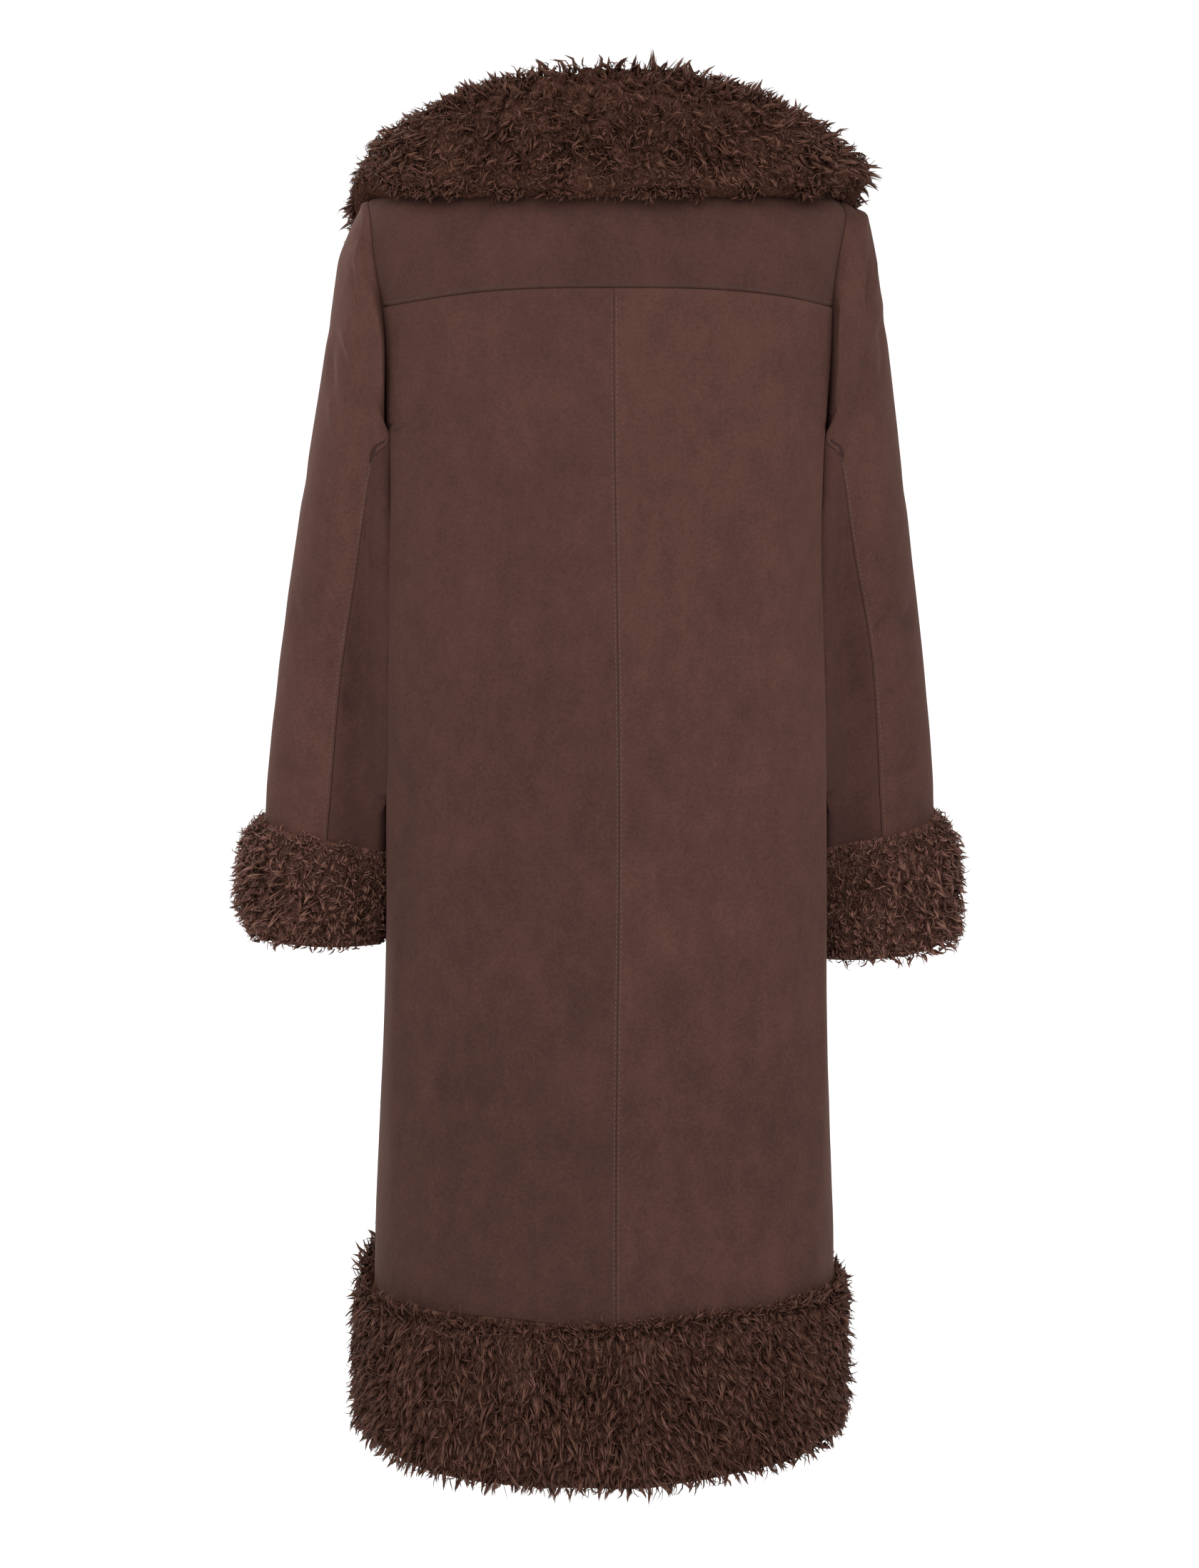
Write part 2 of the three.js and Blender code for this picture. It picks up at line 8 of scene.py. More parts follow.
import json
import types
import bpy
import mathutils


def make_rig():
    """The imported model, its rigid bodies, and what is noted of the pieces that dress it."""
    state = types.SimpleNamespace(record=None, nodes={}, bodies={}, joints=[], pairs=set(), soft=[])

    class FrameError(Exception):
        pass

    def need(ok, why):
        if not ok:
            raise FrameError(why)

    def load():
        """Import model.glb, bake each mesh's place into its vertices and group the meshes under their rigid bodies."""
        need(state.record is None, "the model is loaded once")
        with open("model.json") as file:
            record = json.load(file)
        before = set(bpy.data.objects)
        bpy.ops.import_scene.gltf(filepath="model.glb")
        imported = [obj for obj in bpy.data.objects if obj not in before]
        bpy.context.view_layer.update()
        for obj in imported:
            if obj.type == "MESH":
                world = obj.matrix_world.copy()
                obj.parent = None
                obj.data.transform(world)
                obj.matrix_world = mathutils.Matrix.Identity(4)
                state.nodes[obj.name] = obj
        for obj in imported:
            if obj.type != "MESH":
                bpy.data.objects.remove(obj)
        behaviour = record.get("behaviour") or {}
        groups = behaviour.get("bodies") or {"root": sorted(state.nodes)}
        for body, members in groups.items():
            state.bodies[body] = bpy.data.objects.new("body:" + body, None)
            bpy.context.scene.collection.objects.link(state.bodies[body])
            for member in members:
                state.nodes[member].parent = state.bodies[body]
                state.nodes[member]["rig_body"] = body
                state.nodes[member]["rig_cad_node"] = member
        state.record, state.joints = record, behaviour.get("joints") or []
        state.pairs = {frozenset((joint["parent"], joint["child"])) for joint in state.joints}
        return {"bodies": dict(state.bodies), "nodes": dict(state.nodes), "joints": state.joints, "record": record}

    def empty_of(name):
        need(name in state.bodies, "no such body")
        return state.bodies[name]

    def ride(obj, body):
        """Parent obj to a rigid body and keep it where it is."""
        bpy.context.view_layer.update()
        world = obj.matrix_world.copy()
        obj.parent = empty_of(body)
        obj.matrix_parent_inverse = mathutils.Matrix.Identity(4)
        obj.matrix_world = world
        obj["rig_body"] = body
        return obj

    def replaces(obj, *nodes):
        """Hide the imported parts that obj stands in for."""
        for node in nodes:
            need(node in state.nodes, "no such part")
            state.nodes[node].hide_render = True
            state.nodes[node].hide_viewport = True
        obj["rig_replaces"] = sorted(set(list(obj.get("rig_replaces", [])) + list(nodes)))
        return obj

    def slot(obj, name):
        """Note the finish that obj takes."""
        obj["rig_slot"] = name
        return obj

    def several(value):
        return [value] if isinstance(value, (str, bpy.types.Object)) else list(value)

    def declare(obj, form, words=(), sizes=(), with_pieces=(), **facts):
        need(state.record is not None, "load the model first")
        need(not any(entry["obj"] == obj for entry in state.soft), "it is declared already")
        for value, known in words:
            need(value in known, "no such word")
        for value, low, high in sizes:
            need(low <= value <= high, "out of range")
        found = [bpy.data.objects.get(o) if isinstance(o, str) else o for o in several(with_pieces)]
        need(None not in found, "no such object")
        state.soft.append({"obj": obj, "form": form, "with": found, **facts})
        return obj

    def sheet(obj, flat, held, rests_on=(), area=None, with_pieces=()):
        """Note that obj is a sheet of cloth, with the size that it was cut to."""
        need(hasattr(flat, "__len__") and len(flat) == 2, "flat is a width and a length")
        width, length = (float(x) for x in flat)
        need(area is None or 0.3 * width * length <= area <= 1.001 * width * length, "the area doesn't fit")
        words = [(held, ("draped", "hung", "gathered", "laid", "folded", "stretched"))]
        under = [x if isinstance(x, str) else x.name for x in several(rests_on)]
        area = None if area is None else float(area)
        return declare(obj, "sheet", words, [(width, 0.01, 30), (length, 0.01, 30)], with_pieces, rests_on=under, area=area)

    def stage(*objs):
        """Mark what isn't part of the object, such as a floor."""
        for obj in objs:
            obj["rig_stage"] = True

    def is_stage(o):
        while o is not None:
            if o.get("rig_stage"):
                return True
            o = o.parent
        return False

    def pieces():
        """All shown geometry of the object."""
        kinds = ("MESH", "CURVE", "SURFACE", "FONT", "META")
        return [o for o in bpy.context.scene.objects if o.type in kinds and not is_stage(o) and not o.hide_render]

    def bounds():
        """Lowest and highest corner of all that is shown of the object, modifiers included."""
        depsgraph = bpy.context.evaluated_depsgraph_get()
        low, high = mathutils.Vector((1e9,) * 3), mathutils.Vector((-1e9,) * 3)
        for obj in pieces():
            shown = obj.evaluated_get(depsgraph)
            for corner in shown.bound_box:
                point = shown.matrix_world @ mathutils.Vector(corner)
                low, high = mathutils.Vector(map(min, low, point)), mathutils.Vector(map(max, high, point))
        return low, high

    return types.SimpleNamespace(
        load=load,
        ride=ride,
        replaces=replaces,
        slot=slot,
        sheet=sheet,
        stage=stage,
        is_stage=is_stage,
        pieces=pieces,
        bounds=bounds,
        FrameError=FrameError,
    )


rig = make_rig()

bl_info = {
    "name": "Suede Coat With Fur Trim",
    "version": (1, 0, 0),
    "blender": (4, 5, 0),
    "location": "3D View > Sidebar > Coat",
    "description": "Builds a long suede-look coat with a fur collar, cuffs and hem",
    "category": "Add Mesh",
}

import json
import math
from itertools import product

import bpy
import numpy as np
from bpy.props import FloatProperty, FloatVectorProperty, PointerProperty
from mathutils import Matrix, Vector
from mathutils.kdtree import KDTree

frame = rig.load()
CAD_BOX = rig.bounds()

MM = 0.001                   # metres in a millimetre
BODY_NAME = "root"

# ------------------------------------------------------------------ the coat's sizes
CLOTH = 1.8                  # thickness of the cloth
HALF_SEAM = 0.15             # half the gap between two sewn pieces
# The shoulder tips, and the line over the shoulders between them.
SHOULDER_HALF, SHOULDER_Y = 200.0, -8.0
RIDGE_MID, RIDGE_DROP, RIDGE_CURVE, OVER_CORNER = 36.0, 58.0, 1.7, 2.3
# The neck, the yoke's seam, the line across the chest, and where each meets the armholes.
NECK_HALF, NECK_BACK, NECK_FRONT_DOWN, NECK_FRONT_CURVE = 88.0, 80.0, 92.0, 1.5
YOKE_MID_DOWN, YOKE_SIDE_DOWN, YOKE_ARM_X, YOKE_ARCH = 92.0, 110.0, 188.0, 3.0
CHEST_DOWN, CHEST_ARM_X = 135.0, 178.0
UNDERARM_DOWN, SIDE_SEAM_Y = 214.0, 0.0
HEM_SEAM_DOWN, HEM_DOWN = 960.0, 1106.0
FRONT_GAP = 1.2              # between the two front edges
SLEEVE_CLEAR, ARMHOLE_GAP, COLLAR_GAP = 1.6, 0.4, 0.5
CUFF_SEAM, CUFF_END = 7.1, 8.0       # the fur cuff's upper and lower edges, in sleeve steps
COLLAR_END_TURN = 176.0      # degrees from the centre back to the collar's ends
MID_FALL = 0.62              # the share of the way from the collar's roll to its edge
FUR_BASE = 0.3               # the wool starts this far over the cloth
EDGE_LINES = (0.0, 1.3, 2.8, 5.0, 8.5)     # extra mesh lines this close to a panel's edges
CREASES_FADE = 9.0           # creases fade out this close to a panel's edges
EDGE_TURNS, EDGE_SHADE_AND_HIGHLIGHT = 1.4, 1.7        # a sewn edge turns in, and is painted with shade and a highlight, over these


def table(names, rows):
    """A table of sizes: the names of its columns and its rows."""
    return names.split(), np.array(rows, float)


# The coat's rings from the chest down.
BODY = table("down side widest back front backCorner frontCorner", [
    (85, 191, 24, 126, 122, 3.7, 2.7),
    (215, 190, 24, 133, 133, 3.3, 2.5),
    (450, 190, 20, 137, 138, 2.9, 2.4),
    (680, 191, 16, 141, 141, 2.7, 2.4),
    (900, 200, 12, 147, 145, 2.5, 2.4),
    (1110, 204, 10, 150, 148, 2.4, 2.4),
])
# The long soft folds of the skirt: turn, width, where each starts and is full, and its height.
FOLDS = (
    (-9, 13, 560, 960, 5), (12, 12, 600, 960, -4), (-58, 12, 640, 1000, 5),
    (52, 14, 700, 1000, 4), (128, 14, 620, 1000, 4), (-134, 13, 660, 1000, 5),
)
# The left sleeve's rings from the armhole to the cuff's lower edge.
SLEEVE = table("step outX outDown inX inDown y deep", [
    (0, 200, 22, 188, 214, -2, 70),
    (1, 221, 30, 188, 222, -3, 78),
    (2, 230, 62, 188, 240, -5, 82),
    (3, 242, 136, 188, 290, -9, 81),
    (4, 262, 280, 187, 370, -17, 76),
    (5, 279, 405, 186, 455, -27, 69),
    (6, 291, 510, 186, 540, -38, 63),
    (7, 294, 552, 187, 574, -43, 61),
    (8, 299, 654, 191, 670, -52, 61),
    (9, 304, 756, 195, 766, -61, 61),
])
SLEEVE_SEAMS = table("step back front", [
    (0, 150, 140), (2, 142, 131), (3, 116, 126), (4, 104, 116), (5, 94, 106), (7, 90, 100),
])
# The collar from the centre back to the centre front. The first row mirrors the third.
COLLAR = table("turn out rise edgeX edgeY edgeDown full fur", [
    (-45, 11, 41, -146, 87, 17, 0.7, 27),
    (0, 10, 49, 0, 118, 16, 0.8, 27),
    (45, 11, 41, 146, 87, 17, 0.7, 27),
    (90, 12, 27, 208, -4, 19, 0.66, 26),
    (110, 12, 23, 208, -60, 47, 0.68, 23),
    (128, 11, 20, 191, -100, 87, 0.72, 22),
    (152, 9, 15, 110, -134, 142, 0.74, 21),
    (176, 8, 11, 10, -143, 172, 0.78, 19),
])

# Creases in the body's cloth: side (1 back, -1 front), from x, z to x, z, width, height, bow.
BODY_CREASES = (
    (1, 118, -12, 92, -34, 7, -1.5, 3),
    (1, 150, -16, 132, -40, 8, -1.6, -3),
    (1, -160, -8, -176, -26, 6, -1.8, 2),
    (1, -142, -14, -158, -34, 7, -1.4, 2),
    (1, -120, -12, -100, -36, 8, 1.2, -2),
    (1, 60, -14, 40, -30, 8, -0.9, 2),
    (1, 172, -150, 120, -238, 14, -1.8, 12),
    (1, -172, -150, -124, -230, 13, -1.6, -10),
    (1, 150, -250, 60, -292, 18, -1.2, 8),
    (1, -150, -262, -70, -300, 16, -1.3, -8),
    (1, 176, -430, 96, -470, 16, -1.2, 9),
    (1, -178, -456, -110, -490, 14, -1.2, -8),
    (1, 40, -420, 30, -560, 20, 1.0, 5),
    (1, -60, -360, -78, -520, 22, 1.1, -6),
    (1, 2, -740, 0, -962, 16, 1.6, -2),
    (1, 24, -760, 30, -960, 15, -1.8, 3),
    (1, -128, -850, -140, -962, 9, 2.2, -4),
    (1, -148, -840, -168, -940, 8, -2.0, -4),
    (1, -160, -900, -186, -958, 7, 1.8, -3),
    (1, 130, -800, 150, -960, 16, -1.4, 5),
    (1, 96, -700, 104, -940, 18, 1.2, -4),
    (1, -60, -760, -66, -960, 17, -1.2, 4),
    (-1, 172, -160, 118, -250, 14, -1.8, 12),
    (-1, -170, -165, -122, -240, 13, -1.7, -10),
    (-1, 160, -300, 80, -350, 17, -1.3, 8),
    (-1, -156, -290, -84, -338, 18, -1.2, -8),
    (-1, 178, -470, 110, -510, 15, -1.2, 8),
    (-1, -176, -450, -104, -496, 15, -1.2, -8),
    (-1, 60, -560, 72, -940, 22, 1.5, 5),
    (-1, -70, -600, -84, -950, 20, 1.4, -5),
    (-1, 120, -700, 132, -955, 16, -1.6, 5),
    (-1, -126, -680, -118, -950, 17, -1.5, -4),
)
# Folds at the sleeve heads, behind: side, outward and height from and to, width, height, bow.
SLEEVE_HEAD_FOLDS = (
    (-1, 200, -55, 226, -28, 4.6, 3.6, 1.5),
    (-1, 206, -38, 226, -16, 5.5, -3.4, 1),
    (-1, 204, -74, 226, -120, 9, -1.8, 4),
    (-1, 236, -96, 206, -158, 5.5, 2.4, 2),
    (-1, 240, -108, 214, -164, 7, -2.2, 2),
    (1, 196, -30, 222, -78, 4.8, 3.4, -2),
    (1, 204, -24, 226, -66, 6.0, -3.2, -2),
    (1, 234, -121, 216, -166, 4.4, 3.0, 1),
    (1, 241, -118, 222, -170, 5.5, -2.8, 1),
)
# Creases round the sleeves: which sleeve (0 both, 1 left, -1 right), from degrees, millimetres
# down the sleeve, to degrees, millimetres, width, height, bow.
SLEEVE_CREASES = (
    (0, 60, 60, 104, 118, 13, -1.6, 8),
    (0, -60, 64, -104, 124, 13, -1.6, 8),
    (1, 20, 120, 62, 176, 12, -2.2, 10),
    (1, 36, 150, 70, 196, 10, 1.4, 8),
    (-1, 24, 96, 66, 140, 11, -1.6, 8),
    (-1, 30, 30, 78, 62, 9, -2.4, 6),
    (-1, 20, 40, 60, 84, 9, 1.4, 6),
    (1, 40, 34, 84, 60, 9, -1.8, 5),
    (0, 96, 190, 150, 230, 12, -1.8, 8),
    (1, 60, 342, 118, 352, 8, -2.2, 6),
    (1, 20, 356, 70, 372, 9, -1.4, 7),
    (-1, 56, 338, 110, 346, 7, -2.4, 6),
    (-1, 22, 352, 76, 364, 8, -1.6, 6),
    (-1, 50, 410, 112, 424, 8, -2.2, 7),
    (1, 84, 404, 140, 420, 9, -1.8, 7),
    (-1, 40, 492, 96, 500, 7, -2.2, 5),
    (1, 34, 486, 84, 500, 8, -1.6, 5),
    (0, -60, 344, -118, 352, 8, -2.0, 6),
    (0, -40, 420, -96, 436, 9, -1.8, 6),
    (0, 170, 300, 230, 322, 10, -2.0, 6),
    (0, 160, 390, 226, 408, 10, -1.8, 6),
    (0, -20, 250, 30, 262, 14, -0.9, 6),
)
# Sleeve steps, and how many millimetres down the sleeve each of them lies.
SLEEVE_LENGTHS = ((0, 1, 2, 3, 4, 5, 6, 7, 8), (0, 24, 58, 133, 278, 404, 510, 552, 655))
ELBOW_DOWN = 330             # the creases below this stand out more
PER_DEGREE = 1.3             # millimetres round the sleeve in a degree
# Seam allowances: at a panel's edge (ahead, under) and at a sleeve's head (aside, inward).
LIP = ((4.6, CLOTH + 0.5), (1.2, CLOTH + 0.3), (0.25, 0.8))
ALLOWANCE = ((10.0, 3.0), (3.0, 2.4), (0.4, 0.9))
ARMHOLE_MIDDLE = np.array((0.0, 6.0, -118.0))
RINGS = 3                    # rings of each wisp, before its tip
PATCH, PATCH_SHADE = 26.0, 0.14      # size of lighter and darker patches of fur, and how much
SIDES = (("left", 1), ("right", -1))
# Area lights in metres and watts: place, size and power.
SOFTBOXES = (("fill_softbox", (2.4, 2.2, 0.4), 1.6, 5),
             ("front_softbox", (1.4, -2.8, 1.4), 1.8, 34),
             ("overhead_softbox", (0, 0.3, 2.6), 1.6, 8))
# Each sheet as it was cut: width, length and flat area, in metres.
CUTS = {
    "back_yoke": (0.50, 0.20, 0.075),
    "back_left": (0.30, 0.90, 0.249), "back_right": (0.30, 0.90, 0.240),
    "front_left": (0.33, 1.05, 0.254), "front_right": (0.33, 1.05, 0.249),
    "sleeve_upper_left": (0.34, 0.58, 0.122), "sleeve_upper_right": (0.34, 0.58, 0.125),
    "sleeve_under_left": (0.19, 0.46, 0.080), "sleeve_under_right": (0.19, 0.46, 0.080),
    "under_collar": (0.69, 0.40, 0.123), "collar_fur": (0.70, 0.42, 0.145),
    "cuff_fur_left": (0.37, 0.11, 0.037), "cuff_fur_right": (0.37, 0.11, 0.038),
    "hem_fur_back": (0.58, 0.15, 0.083),
    "hem_fur_front_left": (0.30, 0.16, 0.043), "hem_fur_front_right": (0.30, 0.15, 0.042),
}


# ------------------------------------------------------------------ small helpers
def lerp(a, b, t):
    return a + (b - a) * t


def share01(t):
    return np.clip(t, 0.0, 1.0)


def smooth(t):
    t = share01(t)
    return t * t * (3 - 2 * t)


def ramp(v, zero, one):
    """0 up to one value, 1 past another, and smooth between them."""
    return smooth((v - zero) / (one - zero))


def bump(*spots):
    """1 at a middle, fading round it. Each three values are a place, its middle and a width."""
    return np.exp(-sum(((v - middle) / width) ** 2
                       for v, middle, width in zip(spots[::3], spots[1::3], spots[2::3])))


def axes(p):
    return p[..., 0], p[..., 1], p[..., 2]


def unit(v):
    """Each row of v at length one."""
    return v / np.maximum(np.linalg.norm(v, axis=-1, keepdims=True), 1e-9)


def point(x, y, z):
    return np.stack(np.broadcast_arrays(x, y, z), axis=-1).astype(float)


def read(rows, at):
    """Every column of a table, read smoothly at values of its first column."""
    names, values = rows
    keys = values[:, 0]
    at = np.asarray(at, float)
    i = np.clip(np.searchsorted(keys, at, side="left") - 1, 0, len(keys) - 2)
    before, after = np.maximum(i - 1, 0), np.minimum(i + 2, len(keys) - 1)
    span = keys[i + 1] - keys[i]
    t = share01((at - keys[i]) / span)
    out = {}
    for c, name in enumerate(names):
        v = values[:, c]
        slope_a = (v[i + 1] - v[before]) / (keys[i + 1] - keys[before]) * span
        slope_b = (v[after] - v[i]) / (keys[after] - keys[i]) * span
        out[name] = ((2 * t**3 - 3 * t**2 + 1) * v[i] + (t**3 - 2 * t**2 + t) * slope_a
                     + (3 * t**2 - 2 * t**3) * v[i + 1] + (t**3 - t**2) * slope_b)
    return out


def corner_reach(across, along, half_across, half_along, corner):
    """From the middle of a rounded rectangle to its edge, along a direction."""
    return (np.abs(across / half_across) ** corner
            + np.abs(along / half_along) ** corner) ** (-1 / corner)


def corner_rest(share, corner):
    """The share of one half-size left on a rounded rectangle at a share of the other."""
    return np.maximum(0, 1 - np.minimum(1, np.abs(share)) ** corner) ** (1 / corner)


# ------------------------------------------------------------------ the coat's form
def fold_height(turn, down):
    height = 0
    for fold_turn, width, start, full, tall in FOLDS:
        apart = turn - math.radians(fold_turn)
        off = np.arctan2(np.sin(apart), np.cos(apart)) / math.radians(width)
        height = height + tall * ramp(down, start, full) * np.exp(-off * off)
    return height


def ring_half(down, back):
    """The half of the ring behind (back true) or before its widest line."""
    row = read(BODY, down)
    reach = np.where(back, row["back"] - row["widest"], row["front"] + row["widest"])
    corner = np.where(back, row["backCorner"], row["frontCorner"])
    return row["side"], row["widest"], reach, corner


def ring_point(turn, down):
    """A point on the coat's ring: turn 0 is the centre back, a right angle the left side."""
    across, along = np.sin(turn), np.cos(turn)
    side, widest, half, corner = ring_half(down, along >= 0)
    reach = corner_reach(across, along, side, half, corner) + fold_height(turn, down)
    return point(reach * across, widest + reach * along, -np.asarray(down, float))


def side_x(down, y):
    side, widest, half, corner = ring_half(down, y >= read(BODY, down)["widest"])
    return side * corner_rest((y - widest) / half, corner)


def turn_at_y(down, y):
    return np.arctan2(side_x(down, y), y - read(BODY, down)["widest"])


def ring_y(down, x, facing):
    side, widest, half, corner = ring_half(down, np.asarray(facing) > 0)
    return widest + facing * half * corner_rest(x / side, corner)


def ridge(x):
    return RIDGE_MID - RIDGE_DROP * (np.abs(x) / SHOULDER_HALF) ** RIDGE_CURVE


def yoke_seam_down(x):
    return lerp(YOKE_MID_DOWN, YOKE_SIDE_DOWN, np.minimum(1, np.abs(x) / YOKE_ARM_X) ** YOKE_ARCH)


def over_end(top_x, base_down, deep, facing):
    """Where the cloth stops turning over the shoulder: at the shoulder or the neck seam."""
    share = np.abs(top_x) / NECK_HALF
    inside = np.minimum(share, 1)
    high = ridge(top_x) + base_down
    if facing > 0:
        along = NECK_BACK * np.sqrt(1 - inside * inside)
        end = np.arctan2(high * corner_rest(along / deep, OVER_CORNER), along)
    else:
        low = base_down - NECK_FRONT_DOWN
        side = ridge(NECK_HALF) + base_down
        up = np.minimum(high, lerp(low, side, inside ** NECK_FRONT_CURVE))
        end = np.arctan2(up, deep * corner_rest(up / high, OVER_CORNER))
    return np.where(share >= 1, math.pi / 2, end)


def over_point(base_x, lift, facing):
    """A point of the yoke (facing 1) or of the upper front (facing -1)."""
    base_down = yoke_seam_down(base_x) if facing > 0 else CHEST_DOWN + 0 * base_x
    top_x = base_x * SHOULDER_HALF / (YOKE_ARM_X if facing > 0 else CHEST_ARM_X)
    x = lerp(base_x, top_x, smooth(lift))
    deep = np.abs(ring_y(base_down, base_x, facing) - SHOULDER_Y)
    turn = lift * over_end(top_x, base_down, deep, facing)
    along, up = np.cos(turn), np.sin(turn)
    reach = corner_reach(along, up, deep, ridge(x) + base_down, OVER_CORNER)
    return point(x, SHOULDER_Y + facing * reach * along, reach * up - base_down)


def armhole_y(down, facing):
    """The y of the armhole's edge below the yoke seam or the chest line."""
    top = YOKE_SIDE_DOWN if facing > 0 else CHEST_DOWN
    top_y = ring_y(top, YOKE_ARM_X if facing > 0 else CHEST_ARM_X, facing)
    share = share01((down - top) / (UNDERARM_DOWN - top))
    return lerp(SIDE_SEAM_Y, top_y, np.sqrt(1 - share * share))


def armhole_point(degrees):
    """The left armhole: 0 is the shoulder tip, 90 the back, 180 the underarm, -90 the front."""
    at = np.where(degrees > 180, 360 - degrees, np.abs(degrees))
    behind = (degrees >= 0) & (degrees <= 180)
    found = {}
    for facing in (1, -1):
        arm_x = YOKE_ARM_X if facing > 0 else CHEST_ARM_X
        over = over_point(arm_x + 0 * at, share01(1 - at / 90), facing)
        top = YOKE_SIDE_DOWN if facing > 0 else CHEST_DOWN
        down = lerp(top, UNDERARM_DOWN, np.sin(np.radians(np.maximum(at - 90, 0))))
        under = ring_point(turn_at_y(down, armhole_y(down, facing)), down)
        found[facing] = np.where((at <= 90)[..., None], over, under)
    return np.where(behind[..., None], found[1], found[-1])


def sleeve_point(degrees, step):
    """A point on the left sleeve: 0 degrees is its outer line and 90 its back."""
    degrees, step = np.broadcast_arrays(np.asarray(degrees, float), np.asarray(step, float))
    out, deep = np.cos(np.radians(degrees)), np.sin(np.radians(degrees))

    def ring_at(row):
        return point((row["outX"] + row["inX"]) / 2 + (row["outX"] - row["inX"]) / 2 * out,
                     row["y"] + row["deep"] * deep,
                     -(row["outDown"] + row["inDown"]) / 2
                     - (row["outDown"] - row["inDown"]) / 2 * out)

    start = armhole_point(degrees)
    start[..., 0] += ARMHOLE_GAP
    left = 1 - smooth(step / 1.8)
    p = ring_at(read(SLEEVE, step)) + (start - ring_at(read(SLEEVE, 0 * step))) * left[..., None]
    clear = lerp(ARMHOLE_GAP, SLEEVE_CLEAR, share01(step))
    p[..., 0] = np.maximum(p[..., 0], side_x(-p[..., 2], p[..., 1]) + clear)
    return p


def neck_point(degrees):
    """A point on the neck seam: 0 is the centre back, 90 the shoulder, 180 the centre front."""
    top_x = NECK_HALF * np.sin(np.radians(degrees))
    back = over_point(top_x * YOKE_ARM_X / SHOULDER_HALF, 1 + 0 * top_x, 1)
    front = over_point(top_x * CHEST_ARM_X / SHOULDER_HALF, 1 + 0 * top_x, -1)
    return np.where((degrees <= 90)[..., None], back, front)


def leaf_point(degrees, along):
    """A point between the under-collar and its fur: 0 at the neck seam, over the roll at a
    half, 1 at the outer edge."""
    degrees, along = np.broadcast_arrays(np.asarray(degrees, float), np.asarray(along, float))
    row = read(COLLAR, np.abs(degrees))
    neck = neck_point(row["turn"])
    neck[..., 2] += COLLAR_GAP
    out_x, out_y = np.sin(np.radians(row["turn"])), np.cos(np.radians(row["turn"]))

    def aside(share, up):
        return neck + point(out_x * row["out"] * share, out_y * row["out"] * share, up)

    roll = aside(1, row["rise"])
    edge = point(row["edgeX"], row["edgeY"], -row["edgeDown"])
    fall = lerp(roll, edge, MID_FALL)
    fall[..., 2] = lerp(edge[..., 2], roll[..., 2], row["full"])
    lower = aside(0.3, row["rise"] * 0.55)
    knots = np.stack([2 * neck - lower, neck, lower, roll, fall, edge, 2 * edge - fall])
    at = share01(along) * 4
    i = np.minimum(np.floor(at).astype(int), 3)
    w = (at - i)[..., None]
    a, b, c, d = (np.take_along_axis(knots, (i + k)[None, ..., None], 0)[0] for k in range(4))
    t0, t1 = (c - a) / 2, (d - b) / 2
    p = b + t0 * w + (3 * c - 3 * b - 2 * t0 - t1) * w**2 + (2 * b - 2 * c + t0 + t1) * w**3
    p[..., 0] *= np.where(degrees < 0, -1, 1)
    return p


def with_normals(surface, u, v, step_u, step_v, sign):
    """Points of a surface, their outward normals and the way v grows."""
    du = surface(u + step_u, v) - surface(u - step_u, v)
    dv = surface(u, v + step_v) - surface(u, v - step_v)
    return surface(u, v), unit(np.cross(du, dv)) * sign, unit(dv)


def on_ring(turn, down):
    return with_normals(ring_point, turn, down, 0.01, 1.0, 1)


def on_sleeve(degrees, step):
    return with_normals(sleeve_point, degrees, step, 1.0, 0.02, -1)


def on_leaf(degrees, along):
    return with_normals(leaf_point, degrees, along, 1.0, 0.01, 1)


def on_over(base_x, lift, facing):
    return with_normals(lambda x, s: over_point(x, s, facing), base_x, lift, 0.5, 0.01, -facing)


def sided(sampled, side):
    """A sampled surface of the left side, turned into the right side's where side is -1."""
    return tuple(a * np.array((side, 1.0, 1.0)) for a in sampled)


# ------------------------------------------------------------------ soft lumps and creases
def lumps(p, size, seed):
    """Smooth random values from -1 to 1 that change over a given size."""
    q = p / size
    cell = np.floor(q).astype(np.int64)
    f = smooth(q - cell)
    total = np.zeros(p.shape[:-1])
    # Large odd numbers scatter the values at the eight corners of each cell.
    for corner in range(8):
        step = np.array([(corner >> k) & 1 for k in range(3)])
        c = cell + step
        mix = (c[..., 0] * 73856093) ^ (c[..., 1] * 19349663) ^ (c[..., 2] * 83492791) ^ seed * 9781
        mix = (mix ^ (mix >> 13)) * 1274126177
        value = ((mix ^ (mix >> 16)) & 0xFFFF) / 32767.5 - 1
        total += value * np.prod(np.where(step, f, 1 - f), axis=-1)
    return total


def crease_height(a, b, a0, b0, a1, b1, width, height, bow):
    """The height of one soft crease at places a, b. It tapers to both of its ends."""
    way = np.array((a1, b1), float) - np.array((a0, b0), float)
    length = np.linalg.norm(way)
    way = way / length
    along = ((a - a0) * way[0] + (b - b0) * way[1]) / length
    across = (a - a0) * -way[1] + (b - b0) * way[0] - bow * np.sin(math.pi * share01(along))
    grown = smooth(share01(along * 2.4)) * smooth(share01((1 - along) * 2.4))
    over = np.maximum(np.maximum(-along, along - 1), 0) * length / width
    return height * grown * np.exp(-(across / width) ** 2) * np.exp(-over**2)


def body_creases(p, n):
    total = 0.5 * lumps(p, 90.0, 3) + 0.35 * lumps(p, 38.0, 4)
    for facing, *crease in BODY_CREASES:
        faces = smooth(0.5 + 1.5 * n[..., 1] * facing)
        total += 1.5 * faces * crease_height(p[..., 0], p[..., 2], *crease)
    return total


